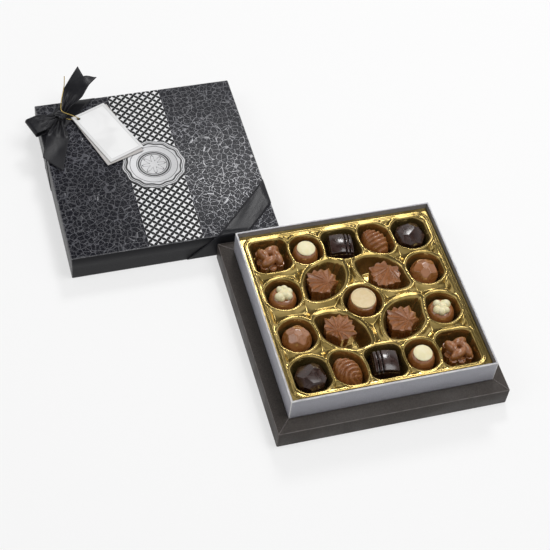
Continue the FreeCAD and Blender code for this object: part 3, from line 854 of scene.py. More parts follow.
def rotate(bm: Mesh, verts: Any, degrees: float, axis: str = "Z") -> None:
    """Turns part of a mesh about an axis through the origin."""
    turn = Matrix.Rotation(math.radians(degrees), 3, axis)
    bmesh.ops.rotate(bm, cent=ORIGIN, matrix=turn, verts=verts)


def soften(bm: Mesh, edges: Sequence[bmesh.types.BMEdge], reach: float, segments: int = 3) -> None:
    """Rounds edges.

    Args:
        bm: The mesh.
        edges: The edges.
        reach: How far the rounding goes along each side.
        segments: How many faces it has.
    """
    bmesh.ops.bevel(
        bm,
        geom=list(edges),
        offset=reach,
        affect="EDGES",
        segments=segments,
        profile=0.5,
        material=-1,
        clamp_overlap=True,
    )


def add_box(bm: Mesh, half: Sequence[float], centre: Sequence[float]) -> list[bmesh.types.BMVert]:
    """Adds a box.

    Args:
        bm: The mesh.
        half: Half its size along each axis.
        centre: Its middle.

    Returns:
        Its vertices.
    """
    verts = bmesh.ops.create_cube(bm, size=2.0)["verts"]
    bmesh.ops.scale(bm, vec=half, verts=verts)
    bmesh.ops.translate(bm, vec=centre, verts=verts)
    return verts


def cut_off(bm: Mesh, place: Sequence[float], normal: Sequence[float]) -> None:
    """Cuts away what lies beyond a plane, and closes the cut.

    Args:
        bm: The mesh.
        place: A point of the plane.
        normal: The way to what is cut away.
    """
    whole = bm.verts[:] + bm.edges[:] + bm.faces[:]
    cut = bmesh.ops.bisect_plane(bm, geom=whole, plane_co=place, plane_no=normal, clear_outer=True)
    rim = only(bmesh.types.BMEdge, cut["geom_cut"])
    if rim:
        bmesh.ops.edgeloop_fill(bm, edges=rim)


def melted(bm: Mesh, voxel: float, rounds: int) -> Mesh:
    """Melts overlapping solids into one soft skin.

    Args:
        bm: The solids; it is freed.
        voxel: The size of the skin's faces.
        rounds: How often the skin is smoothed.

    Returns:
        The skin.
    """
    mesh = bpy.data.meshes.new("melt")
    bm.to_mesh(mesh)
    bm.free()
    holder = bpy.data.objects.new("melt", mesh)
    bpy.context.scene.collection.objects.link(holder)
    skin = holder.modifiers.new("skin", "REMESH")
    skin.mode = "VOXEL"
    skin.voxel_size = voxel
    smooth = holder.modifiers.new("soften", "SMOOTH")
    smooth.factor = 0.5
    smooth.iterations = rounds
    result = bpy.data.meshes.new_from_object(holder.evaluated_get(bpy.context.evaluated_depsgraph_get()))
    bpy.data.objects.remove(holder)
    bpy.data.meshes.remove(mesh)
    soft = bmesh.new()
    soft.from_mesh(result)
    bpy.data.meshes.remove(result)
    return soft


def cloth(shape: Callable[[float, float], Vector], columns: int, rows: int, flat: Pair) -> Mesh:
    """Lays a flat grid of cloth into its place.

    Args:
        shape: The place of the point at a share across and a share along.
        columns: Faces across.
        rows: Faces along.
        flat: The cloth's width and length, which its map is measured in.

    Returns:
        The cloth, mapped in millimetres.
    """
    bm = bmesh.new()
    bmesh.ops.create_grid(bm, x_segments=columns, y_segments=rows, size=1.0)
    layer = bm.loops.layers.uv.new("UVMap")
    for face in bm.faces:
        for loop in face.loops:
            co = loop.vert.co
            loop[layer].uv = ((co.x + 1) / 2 * flat[0], (co.y + 1) / 2 * flat[1])
    for vert in bm.verts:
        vert.co = shape((vert.co.x + 1) / 2, (vert.co.y + 1) / 2)
    return bm


def finished(
    name: str, bm: Mesh, finish: Finish, body: str, node: str, slot: str, sharp: float
) -> bpy.types.Object:
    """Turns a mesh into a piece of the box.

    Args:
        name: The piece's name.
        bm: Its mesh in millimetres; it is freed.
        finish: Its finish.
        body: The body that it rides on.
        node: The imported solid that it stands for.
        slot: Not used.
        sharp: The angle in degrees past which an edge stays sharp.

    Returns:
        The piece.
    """
    bmesh.ops.scale(bm, vec=(MM,) * 3, verts=bm.verts)
    mesh = bpy.data.meshes.new(name)
    bm.to_mesh(mesh)
    bm.free()
    mesh.shade_smooth()
    mesh.set_sharp_from_angle(angle=math.radians(sharp))
    mesh.materials.append(finish.material())
    piece = bpy.data.objects.new(name, mesh)
    bpy.context.scene.collection.objects.link(piece)
    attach(piece, body)
    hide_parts(node)
    log.info("%s: %d faces on %s", name, len(mesh.polygons), body)
    return piece


def thickened(piece: bpy.types.Object, thickness: float, offset: float) -> None:
    """Gives a sheet its thickness.

    Args:
        piece: The sheet.
        thickness: Its thickness in millimetres.
        offset: 1 to grow along the normals, -1 against them, 0 both ways.
    """
    wall = piece.modifiers.new("thickness", "SOLIDIFY")
    wall.thickness = thickness * MM
    wall.offset = offset
    wall.use_even_offset = True


def almond_distance(x: Any, y: Any, half_length: float, half_width: float, tip: float) -> Any:
    """The distance from a pointed oval along X, below zero inside.

    Args:
        x: Places along.
        y: Places across.
        half_length: Half the oval's length.
        half_width: Half its width.
        tip: The radius of its tips.

    Returns:
        The distances.
    """
    reach, belly = half_length - tip, half_width - tip
    drop = (reach**2 - belly**2) / (2 * belly)
    ax, ay = np.abs(x), np.abs(y)
    past = (ax - reach) * drop > ay * reach
    point = np.hypot(ax - reach, ay)
    arc = np.hypot(ax, ay + drop) - math.hypot(reach, drop)
    return np.where(past, point, arc) - tip


def square_distance(x: Any, y: Any, half: float, corner: float) -> Any:
    """The distance from a square with round corners, below zero inside.

    Args:
        x: Places along X.
        y: Places along Y.
        half: Half the square's side.
        corner: The radius of its corners.

    Returns:
        The distances.
    """
    px, py = np.abs(x) - (half - corner), np.abs(y) - (half - corner)
    outside = np.hypot(np.maximum(px, 0), np.maximum(py, 0))
    return outside + np.minimum(np.maximum(px, py), 0) - corner


@dataclass(frozen=True)
class Place:
    """A praline's place on the insert: shares of the insert's half side, and its turn in degrees."""

    kind: Kind
    x_share: float
    y_share: float
    turn: float


LAYOUT = (
    Place(Kind.KNOT, -0.74, 0.727, 20),
    Place(Kind.CUP, -0.37, 0.727, 0),
    Place(Kind.BLOCK, 0, 0.727, -8),
    Place(Kind.SWIRL, 0.37, 0.727, 118),
    Place(Kind.GEM, 0.74, 0.727, 12),
    Place(Kind.EGG, -0.74, 0.237, 10),
    Place(Kind.LEAF, -0.318, 0.300, 44),
    Place(Kind.LEAF, 0.326, 0.274, 138),
    Place(Kind.BALL, 0.74, 0.262, 0),
    Place(Kind.DRUM, 0, 0, 0),
    Place(Kind.BALL, -0.74, -0.262, 180),
    Place(Kind.LEAF, -0.326, -0.274, -42),
    Place(Kind.LEAF, 0.318, -0.300, 44),
    Place(Kind.EGG, 0.74, -0.237, 190),
    Place(Kind.GEM, -0.74, -0.727, 192),
    Place(Kind.SWIRL, -0.37, -0.727, 298),
    Place(Kind.BLOCK, 0, -0.727, 172),
    Place(Kind.CUP, 0.37, -0.727, 180),
    Place(Kind.KNOT, 0.74, -0.727, 200),
)


@dataclass(frozen=True)
class Mould:
    """The shape of one kind of praline, standing on the origin."""

    def plan(self, x: Any, y: Any) -> Any:
        """The distance from the outline that the pocket follows, below zero inside.

        Args:
            x: Places along X from the praline's middle.
            y: Places along Y from the praline's middle.

        Returns:
            The distances.
        """
        raise NotImplementedError

    def cast(self) -> Mesh:
        """The praline's mesh."""
        raise NotImplementedError


@dataclass(frozen=True)
class RoundMould(Mould):
    """A body of revolution whose side is one arc, with soft edges."""

    foot: float
    belly: float
    top: float
    height: float
    belly_share: float
    edge: float = 1.2

    def plan(self, x: Any, y: Any) -> Any:
        """The distance from the widest circle."""
        return np.hypot(x, y) - max(self.belly, self.foot)

    def cast(self) -> Mesh:
        """The arc between a flat foot and a flat top, spun.

        Returns:
            The mesh.
        """
        widest = (self.belly, self.height * self.belly_share)
        side = arc_through((self.foot, 0.0), widest, (self.top, self.height))
        (foot, _), (top, height) = side[0], side[-1]
        near = self.edge / 4
        profile = [(0.0, 0.0), (foot - self.edge, 0.0), (foot - near, near)] + side[2:-2]
        return turned(profile + [(top - near, height - near), (top - self.edge, height), (0.0, height)])


@dataclass(frozen=True)
class KnotMould(Mould):
    """Four plump strands that tuck under each other round a dimple, on a round foot."""

    reach: float = 17.0
    corner: float = 9.0
    foot: Pair = (12.0, 12.0)
    core: Pair = (4.9, 16.4)
    strand: Triple = (9.8, 4.9, 6.4)
    strand_place: Triple = (5.0, 5.6, 17.4)
    drops: tuple[tuple[float, ...], ...] = ((11.0, 6.0, 4.4, 14.0), (2.6, 10.0, 4.2, 11.0))
    taper: float = 0.92
    tilt: float = 14.0
    voxel: float = 0.32

    def plan(self, x: Any, y: Any) -> Any:
        """The distance from a square with round corners."""
        return square_distance(x, y, self.reach, self.corner)

    def cast(self) -> Mesh:
        """The foot, the strands and what hangs down from them, melted together.

        Returns:
            The mesh.
        """
        bm = bmesh.new()
        self.post(bm, 0, 0, *self.foot)
        self.post(bm, 0, 0, *self.core)
        for quarter in range(4):
            strand = bmesh.ops.create_uvsphere(bm, u_segments=40, v_segments=24, radius=1.0)["verts"]
            bmesh.ops.scale(bm, vec=self.strand, verts=strand)
            rotate(bm, strand, self.tilt, "Y")
            bmesh.ops.translate(bm, vec=self.strand_place, verts=strand)
            hung = [vert for drop in self.drops for vert in self.post(bm, *drop)]
            rotate(bm, strand + hung, 90 * quarter)
        return melted(bm, self.voxel, 1)

    def post(self, bm: Mesh, x: float, y: float, radius: float, height: float) -> list[bmesh.types.BMVert]:
        """Adds an upright post.

        Args:
            bm: The mesh.
            x: Its place along X.
            y: Its place along Y.
            radius: Its radius at the top.
            height: Its height.

        Returns:
            Its vertices.
        """
        sizes = {"radius1": radius * self.taper, "radius2": radius, "depth": height}
        verts = bmesh.ops.create_cone(bm, cap_ends=True, segments=48, **sizes)["verts"]
        bmesh.ops.translate(bm, vec=(x, y, height / 2), verts=verts)
        return verts


@dataclass(frozen=True)
class BlockMould(Mould):
    """A square block drawn in to a soft top, with two grooves near one side."""

    half: float = 15.0
    corner: float = 6.0
    top_half: float = 12.6
    height: float = 23.0
    shoulder: float = 18.6
    draw_in: float = 0.88
    bars: tuple[Pair, ...] = ((-12.4, 3.7), (5.0, 7.8), (9.1, 12.4))
    dome: float = 3.0
    voxel: float = 0.4

    def plan(self, x: Any, y: Any) -> Any:
        """The distance from a square with round corners."""
        return square_distance(x, y, self.half, self.corner)

    def cast(self) -> Mesh:
        """A tapered body and the bars between the grooves, melted together.

        Returns:
            The mesh.
        """
        bm = bmesh.new()
        middle = self.shoulder / 2
        body = add_box(bm, (self.half, self.half, middle), (0, 0, middle))
        upper = [vert for vert in body if vert.co.z > middle]
        bmesh.ops.scale(bm, vec=(self.draw_in, self.draw_in, 1.0), verts=upper)
        depth = self.height - middle
        for low, high in self.bars:
            size = ((high - low) / 2, self.top_half, depth / 2)
            add_box(bm, size, ((high + low) / 2, 0, self.height - depth / 2))
        soft = melted(bm, self.voxel, 8)
        for vert in soft.verts:
            vert.co.z -= self.dome * (vert.co.xy.length / self.half) ** 2 * ease(vert.co.z, 0, self.height)
        return soft


@dataclass(frozen=True)
class SwirlMould(Mould):
    """An oval dome with wavy grooves nested about one tip."""

    half_length: float = 18.5
    half_width: float = 13.4
    tip: float = 5.0
    height: float = 24.0
    shoulder: float = 7.0
    foot: tuple[Pair, ...] = ((0.0, 0.0), (0.5, 0.0), (0.95, 0.0), (0.97, 0.5))
    roundness: Pair = (0.8, 0.95)
    focus: float = 15.5
    pitch: float = 5.0
    depth: float = 3.0
    sharpness: float = 1.5
    wave: float = 1.5
    wave_turns: float = 3.2
    wave_start: float = 0.6
    groove_start: Pair = (0.5, 5.0)

    def plan(self, x: Any, y: Any) -> Any:
        """The distance from a pointed oval."""
        return almond_distance(x, y, self.half_length, self.half_width, self.tip)

    def cast(self) -> Mesh:
        """A dome spun on a unit circle, drawn out to the oval and grooved.

        Returns:
            The mesh.
        """
        rise = self.height - self.shoulder
        out, up = self.roundness
        steps = [math.pi / 2 * step / 47 for step in range(48)]
        profile = list(self.foot)
        profile += [(max(0.0, math.cos(a)) ** out, self.shoulder + rise * math.sin(a) ** up) for a in steps]
        bm = turned(profile, 128)
        low, high = (self.shoulder + start for start in self.groove_start)
        for vert in bm.verts:
            angle = math.atan2(vert.co.y, vert.co.x)
            reach = self.half_width
            for _ in range(14):
                reach -= float(self.plan(reach * math.cos(angle), reach * math.sin(angle)))
            vert.co.xy *= reach
            away = Vector((vert.co.x - self.focus, vert.co.y))
            turn = math.atan2(away.y, -away.x)
            ripple = away.length + self.wave * math.sin(self.wave_turns * turn + self.wave_start)
            groove = 0.5 + 0.5 * math.cos(2 * math.pi * ripple / self.pitch)
            vert.co.z -= self.depth * groove**self.sharpness * ease(vert.co.z, low, high)
        return bm


@dataclass(frozen=True)
class GemMould(Mould):
    """An eight-sided block with sloping facets that meet in a slanting table."""

    radius: float = 17.0
    height: float = 23.0
    side: Pair = (38.0, 14.1)
    corner: Pair = (60.0, 12.9)
    table: Triple = (118.0, 79.0, 10.6)
    notch: Triple = (300.0, 62.0, 10.4)
    edge: float = 0.45

    def plan(self, x: Any, y: Any) -> Any:
        """The distance from the circle round its corners."""
        return np.hypot(x, y) - self.radius

    def cast(self) -> Mesh:
        """A prism cut by planes, with soft edges.

        Returns:
            The mesh.
        """
        bm = bmesh.new()
        sizes = {"radius1": self.radius, "radius2": self.radius, "depth": self.height}
        bmesh.ops.create_cone(bm, cap_ends=True, segments=8, **sizes)
        rotate(bm, bm.verts, 22.5)
        facets = [(quarter * 90.0, *self.side) for quarter in range(4)]
        facets += [(quarter * 90.0 + 45, *self.corner) for quarter in range(4)]
        for azimuth, slope, distance in facets + [self.table, self.notch]:
            normal = facing(azimuth, slope)
            cut_off(bm, normal * distance, normal)
        bmesh.ops.translate(bm, vec=(0, 0, self.height / 2), verts=bm.verts)
        bmesh.ops.recalc_face_normals(bm, faces=bm.faces)
        soften(bm, bm.edges[:], self.edge)
        return bm


@dataclass(frozen=True)
class BallMould(Mould):
    """A ball on a flat foot, with flat facets round it."""

    radius: float = 15.6
    facet: float = 14.15
    sink: float = 5.8
    low_slope: float = 26.0
    high_slope: float = 60.0

    def plan(self, x: Any, y: Any) -> Any:
        """The distance from the ball's widest circle."""
        return np.hypot(x, y) - self.radius

    def cast(self) -> Mesh:
        """A fine ball pushed in to the nearest facet.

        Returns:
            The mesh.
        """
        normals = [facing(0, 90)]
        for ring in range(5):
            normals += [facing(72 * ring, self.low_slope), facing(72 * ring + 36, self.high_slope)]
        bm = bmesh.new()
        bmesh.ops.create_icosphere(bm, subdivisions=6, radius=1.0)
        for vert in bm.verts:
            way = vert.co.normalized()
            leans = [way.dot(normal) for normal in normals]
            vert.co = way * min([self.radius] + [self.facet / lean for lean in leans if lean > 0.5])
            vert.co.z = max(vert.co.z, self.sink - self.radius)
        bmesh.ops.translate(bm, vec=(0, 0, self.radius - self.sink), verts=bm.verts)
        return bm


@dataclass(frozen=True)
class LeafMould(Mould):
    """A notched leaf with fluted sides, whose ribs run from its raised middle to its tips."""

    reach: float = 19.0
    height: float = 23.6
    tip_height: float = 20.6
    notch_height: float = 19.4
    notch_share: float = 0.85
    tip_sharpness: float = 1.15
    foot_share: float = 0.88
    edge: float = 0.04
    edge_rise: float = 0.3
    top_level: float = 1.06
    climb: float = 0.6
    vein: float = 1.3
    vein_sharpness: float = 8
    vein_dip: float = 0.5
    heart: Pair = (0.0, -6.0)
    pocket: Triple = (28.0, 16.5, 4.0)
    pocket_shift: float = 4.0
    tips: tuple[Pair, ...] = (
        (10, 1.0), (38, 0.86), (64, 0.92), (90, 1.04), (116, 0.92), (142, 0.86),
        (170, 1.0), (206, 0.84), (238, 0.86), (270, 0.62), (302, 0.86), (334, 0.84),
    )

    def plan(self, x: Any, y: Any) -> Any:
        """The distance from a pointed oval that runs on past one side of the leaf."""
        return almond_distance(x - self.pocket_shift, y, *self.pocket)

    def lobe(self, angle: float) -> Pair:
        """The outline's share of the reach, and how near it is to a tip.

        Args:
            angle: The direction in degrees, from 0 to 360.

        Returns:
            The share, and 1 at a tip down to 0 in a notch.
        """
        for (start, share), (end, after) in zip(self.tips, self.tips[1:] + self.tips[:1]):
            width = (end - start) % 360
            ahead = (angle - start) % 360
            if ahead <= width:
                break
        tip = share if ahead < width / 2 else after
        notch = self.notch_share * (share + after) / 2
        near = abs(2 * ahead / width - 1)
        return notch + (tip - notch) * near**self.tip_sharpness, near

    def cast(self) -> Mesh:
        """A unit disc of rings drawn out to the outline, raised along the ribs.

        Returns:
            The mesh.
        """
        flat = 1 - self.edge
        wall = [(self.foot_share + (1 - self.foot_share) * s / 10, s / 10) for s in range(11)]
        top = [(flat - s / 24 * flat, self.top_level + s / 24) for s in range(25)]
        bm = turned([(0.0, 0.0), (0.5, 0.0)] + wall + top, 216)
        for vert in bm.verts:
            share, near = self.lobe(math.degrees(math.atan2(vert.co.y, vert.co.x)) % 360)
            edge = self.notch_height + (self.tip_height - self.notch_height) * near
            level = vert.co.z
            if level > 1:
                up = max(0.0, level - self.top_level) ** self.climb
                rib = near**self.vein_sharpness - self.vein_dip * (1 - near) ** 2
                vert.co.z = edge + self.edge_rise + (self.height - edge - self.edge_rise) * up
                vert.co.z += self.vein * rib * math.sin(math.pi * up)
                inner = 1 - vert.co.xy.length
                vert.co.xy = vert.co.xy * self.reach * share + Vector(self.heart) * inner
            else:
                vert.co.z = edge * level
                vert.co.xy *= self.reach * share
        return bm


@dataclass(frozen=True)
class CapMould(Mould):
    """A low domed cap on a cup."""

    base: float = 20.5
    radius: float = 10.0
    edge: float = 1.4
    rise: float = 1.3
    soft: float = 0.9

    def cast(self) -> Mesh:
        """A dome over a short straight edge, spun.

        Returns:
            The mesh.
        """
        crown = self.base + self.edge + self.rise
        corners = [(0, self.base), (self.radius - 0.1, self.base), (self.radius, self.base + self.edge)]
        corners += [(self.radius * 0.66, crown - self.rise * 0.4), (self.radius * 0.3, crown - 0.1)]
        return turned(eased(corners + [(0, crown)], self.soft))


@dataclass(frozen=True)
class BlossomMould(Mould):
    """Round petals about a heart, flat underneath."""

    base: float = 18.5
    petals: int = 6
    petal: float = 4.2
    ring: float = 6.2
    heart: float = 5.4
    lift: float = 0.9
    unevenness: float = 0.2
    stray: float = 0.3
    size_wave: Pair = (2.4, 0.7)
    lift_wave: Pair = (6, 1.7)
    voxel: float = 0.36

    def cast(self) -> Mesh:
        """Balls melted together and cut level.

        Returns:
            The mesh.
        """
        bm = bmesh.new()
        bmesh.ops.create_uvsphere(bm, u_segments=32, v_segments=20, radius=self.heart)
        (pace, start), (swing, beat) = self.size_wave, self.lift_wave
        for step in range(self.petals):
            uneven = math.sin(pace * step + start)
            petal = self.petal * (1 + self.unevenness * uneven)
            ball = bmesh.ops.create_uvsphere(bm, u_segments=32, v_segments=20, radius=petal)["verts"]
            place = facing(360 / self.petals * (step + self.stray * uneven), 0) * self.ring
            place.z = self.lift - self.unevenness * swing * math.cos(beat * step)
            bmesh.ops.translate(bm, vec=place, verts=ball)
        soft = melted(bm, self.voxel, 1)
        cut_off(soft, ORIGIN, (0, 0, -1))
        bmesh.ops.translate(soft, vec=(0, 0, self.base), verts=soft.verts)
        return soft


@dataclass(frozen=True)
class CoinMould(Mould):
    """A flat round plate with a raised edge."""

    base: float = 22.0
    radius: float = 13.2
    thickness: float = 2.2
    rim: float = 1.3
    dish: float = 0.6
    soft: float = 0.4

    def cast(self) -> Mesh:
        """A dished plate, spun.

        Returns:
            The mesh.
        """
        top = self.base + self.thickness
        inner = self.radius - self.rim
        corners = [(0, self.base), (self.radius, self.base), (self.radius, top - 0.2)]
        corners += [(self.radius - 0.5, top), (inner, top - 0.05), (inner - 0.5, top - self.dish)]
        return turned(eased(corners + [(0, top - self.dish + 0.1)], self.soft))


MOULDS: dict[Kind, Mould] = {
    Kind.KNOT: KnotMould(),
    Kind.CUP: RoundMould(foot=12.0, belly=14.2, top=10.4, height=20.5, belly_share=0.42),
    Kind.BLOCK: BlockMould(),
    Kind.SWIRL: SwirlMould(),
    Kind.GEM: GemMould(),
    Kind.EGG: RoundMould(foot=11.5, belly=14.8, top=10.2, height=18.5, belly_share=0.45),
    Kind.LEAF: LeafMould(),
    Kind.BALL: BallMould(),
    Kind.DRUM: RoundMould(foot=14.9, belly=15.3, top=14.5, height=22.0, belly_share=0.5, edge=1.6),
}


@dataclass
class Plinth:
    """The dark base: four rails with a bevelled top, mitred at the corners, round a board."""

    flange_height: float = 23.0
    mitre_gap: float = 0.4
    edge_round: float = 0.6
    board: Finish = Paper("grey_box_board", **GREY_BOARD)
    rail_paper: Finish = field(init=False)

    def __post_init__(self) -> None:
        """A charcoal paper that fits the plinth's box."""
        half = mm_box("plinth_rail_right")[1].x
        self.rail_paper = Paper(
            "charcoal_plinth_paper",
            colour=(0.058, 0.050, 0.045, 1),
            # Pale edges: rubbed paper and a painted highlight along the rails.
            worn_highlight=(0.30, 0.27, 0.26, 1),
            gloss=0.15,
            half=(half, half, self.flange_height),
            wear_highlight_width=0.9,
            wear_highlight=0.7,
            roughness=0.48,
            mitre_line=(0.2, 1.1),
        )

    def build(self) -> None:
        """Makes the four rails and dresses the board under them."""
        for quarter, side in enumerate(("front", "right", "back", "left")):
            self.rail(side, quarter)
        self.board.dress("bottom_board")
        self.board.dress("platform")

    def rail(self, side: str, quarter: int) -> None:
        """One rail.

        Args:
            side: The side that it lies on.
            quarter: How many quarter turns it is from the front.
        """
        low, high = mm_box("plinth_rail_front")
        outer, inner = -low.y, -high.y
        bm = bmesh.new()
        profile = [(-outer, 0.0), (-outer, self.flange_height), (-inner, high.z), (-inner, 0.0)]
        face = bm.faces.new([bm.verts.new((-outer, y, z)) for y, z in profile])
        run = bmesh.ops.extrude_face_region(bm, geom=[face])["geom"]
        bmesh.ops.translate(bm, vec=(2 * outer, 0, 0), verts=only(bmesh.types.BMVert, run))
        for sign in (-1, 1):
            cut_off(bm, (sign * (outer - self.mitre_gap / 2), -outer, 0), (sign, 1, 0))
        bmesh.ops.recalc_face_normals(bm, faces=bm.faces)
        soften(bm, bm.edges[:], self.edge_round)
        rotate(bm, bm.verts, 90 * quarter)
        finished(f"rail_{side}", bm, self.rail_paper, "base", f"plinth_rail_{side}", "plinth_paper", sharp=50)


@dataclass
class Tray:
    """The silver carton that stands up out of the plinth."""

    wall: float = 2.0
    floor: float = 1.5
    edge_round: float = 0.45

    def build(self) -> None:
        """Makes the carton, in a pearl paper that fits its box."""
        low, high = mm_box("neck_tray")
        depth = high.z - low.z
        paper = Paper(
            "pearl_silver_paper",
            colour=(0.36, 0.36, 0.40, 1),
            # Near-white edges: rubbed paper and a painted highlight along the rim.
            worn_highlight=(0.80, 0.79, 0.77, 1),
            # A darker brown on the carton's inner walls and floor.
            inside_colour=(0.10, 0.085, 0.068, 1),
            centre=(0.0, 0.0, low.z),
            half=(high.x, high.y, depth),
            wear_highlight_width=1.7,
            wear_highlight=1.0,
            roughness=0.42,
            grain=0.8,
            depth=0.03,
        )
        bm = bmesh.new()
        add_box(bm, (high - low) / 2, (high + low) / 2)
        top = max(bm.faces, key=lambda face: face.calc_center_median().z)
        bmesh.ops.inset_region(bm, faces=[top], thickness=self.wall, use_even_offset=True)
        sunk = bmesh.ops.extrude_discrete_faces(bm, faces=[top])["faces"]
        bmesh.ops.translate(bm, vec=(0, 0, self.floor - depth), verts=sunk[0].verts)
        bmesh.ops.recalc_face_normals(bm, faces=bm.faces)
        soften(bm, bm.edges[:], self.edge_round)
        finished("silver_carton", bm, paper, "base", "neck_tray", "silver_paper", sharp=50)


@dataclass
class Insert:
    """The gold sheet: a raised border and a rimmed pocket for each praline, sunk between them."""

    cells: int = 312
    sheet: float = 0.8
    mouth_reach: float = 6.8
    wall_run: float = 8.4
    leaf_run: float = 14.0
    rim_place: float = 0.8
    rim_half_width: float = 1.3
    rim_height: float = 0.6
    land_drop: float = 7.0
    land_run: float = 4.5
    join: float = 0.8
    border_width: float = 7.4
    border_corner: float = 8.0
    bead_place: float = 4.4
    bead_half_width: float = 1.7
    bead_height: float = 1.4
    film: Finish = GoldFilm("drawn_gold", colour=(0.39, 0.285, 0.10, 1), deep=(0.24, 0.17, 0.05, 1))

    def build(self) -> None:
        """Draws the sheet down into its pockets."""
        low, high = mm_box("gold_insert")
        half, deck, floor = high.x, high.z - self.bead_height, low.z + self.sheet
        bm = bmesh.new()
        bmesh.ops.create_grid(bm, x_segments=self.cells, y_segments=self.cells, size=half)
        x, y = np.array([vert.co.xy for vert in bm.verts]).T
        gaps = np.array([self.mouth_gap(p, x - p.x_share * half, y - p.y_share * half) for p in LAYOUT])
        nearest, second = np.sort(gaps, axis=0)[:2]
        border = square_distance(x, y, half - self.border_width, self.border_corner)
        gap = self.larger(self.larger(nearest, (nearest - second) / 2), border)
        runs = np.array([self.leaf_run if place.kind is Kind.LEAF else self.wall_run for place in LAYOUT])
        wall = np.clip(-gap / runs[gaps.argmin(axis=0)], 0, 1)
        z = deck - (deck - floor) * wall**3 * (10 - 15 * wall + 6 * wall * wall)
        z += self.ridge(gap - self.rim_place, self.rim_half_width) * self.rim_height
        land = 1 - np.exp(-np.maximum(gap - 2 * self.rim_place, 0) / self.land_run)
        z -= self.land_drop * land * np.clip(-border / self.land_run, 0, 1)
        bead_corner = self.border_corner + self.border_width - self.bead_place
        bead = square_distance(x, y, half - self.bead_place, bead_corner)
        z += self.ridge(bead, self.bead_half_width) * self.bead_height
        for vert, height in zip(bm.verts, z):
            vert.co.z = height
        edge = [edge for edge in bm.edges if edge.is_boundary]
        hem = only(bmesh.types.BMVert, bmesh.ops.extrude_edge_only(bm, edges=edge)["geom"])
        bmesh.ops.translate(bm, vec=(0, 0, low.z - deck), verts=hem)
        finished("gold_sheet", bm, self.film, "insert", "gold_insert", "gold_film", sharp=80)

    def mouth_gap(self, place: Place, x: Any, y: Any) -> Any:
        """The distance from a pocket's mouth, below zero inside.

        Args:
            place: The praline's place.
            x: Places along X from the praline's middle.
            y: Places along Y from the praline's middle.

        Returns:
            The distances.
        """
        turn = math.radians(place.turn) if place.kind in (Kind.LEAF, Kind.SWIRL) else 0.0
        along, across = x * math.cos(turn) + y * math.sin(turn), y * math.cos(turn) - x * math.sin(turn)
        return MOULDS[place.kind].plan(along, across) - self.mouth_reach

    def larger(self, one: Any, other: Any) -> Any:
        """The larger of two distances, with a soft join where they meet."""
        share = np.clip(0.5 + (one - other) / (2 * self.join), 0, 1)
        return other + (one - other) * share + self.join * share * (1 - share)

    @staticmethod
    def ridge(distance: Any, half_width: float) -> Any:
        """The height of a round ridge along a line, from 0 to 1."""
        return np.cos(np.clip(distance / half_width, -1, 1) * math.pi / 2) ** 2


@dataclass
class Pralines:
    """The chocolates, each cast from the mould of its kind."""

    milk: Finish = Chocolate("milk_couverture", (0.27, 0.098, 0.027, 1), (0.38, 0.155, 0.058, 1))
    dark: Finish = Chocolate("dark_couverture", (0.024, 0.009, 0.006, 1), (0.042, 0.017, 0.012, 1), 0.24, 0.5)
    white: Finish = Chocolate("white_couverture", (0.80, 0.72, 0.44, 1), (0.84, 0.78, 0.55, 1), 0.45, 0.05)
    caramel: Finish = Chocolate("caramel_couverture", (0.68, 0.53, 0.29, 1), (0.74, 0.61, 0.39, 1), 0.5, 0.05)

    def build(self) -> None:
        """Casts every praline and its topping, and sets them in their pockets."""
        toppings: dict[Kind, tuple[str, Mould, Finish, str]] = {
            Kind.CUP: ("white_cap", CapMould(), self.white, "white_chocolate"),
            Kind.EGG: ("white_blossom", BlossomMould(), self.white, "white_chocolate"),
            Kind.DRUM: ("caramel_coin", CoinMould(), self.caramel, "caramel_chocolate"),
        }
        for number, place in enumerate(LAYOUT, 1):
            is_dark = place.kind in (Kind.BLOCK, Kind.GEM)
            finish, slot = (self.dark, "dark_chocolate") if is_dark else (self.milk, "milk_chocolate")
            self.set_down(number, place, place.kind.value, MOULDS[place.kind], finish, slot)
            if place.kind in toppings:
                self.set_down(number, place, *toppings[place.kind])

    @staticmethod
    def set_down(number: int, place: Place, name: str, mould: Mould, finish: Finish, slot: str) -> None:
        """Casts a piece and sets it in its pocket.

        Args:
            number: The praline's number.
            place: Its place on the insert.
            name: What the piece is.
            mould: Its shape.
            finish: Its finish.
            slot: The record's material slot.
        """
        body = f"praline_{number:02d}"
        half = mm_box("gold_insert")[1].x
        seat = mm_box(f"{body}_{place.kind.value}")[0].z
        bm = mould.cast()
        rotate(bm, bm.verts, place.turn)
        bmesh.ops.translate(bm, vec=(place.x_share * half, place.y_share * half, seat), verts=bm.verts)
        finished(f"{name}_{number:02d}", bm, finish, body, f"{body}_{name}", slot, sharp=38)


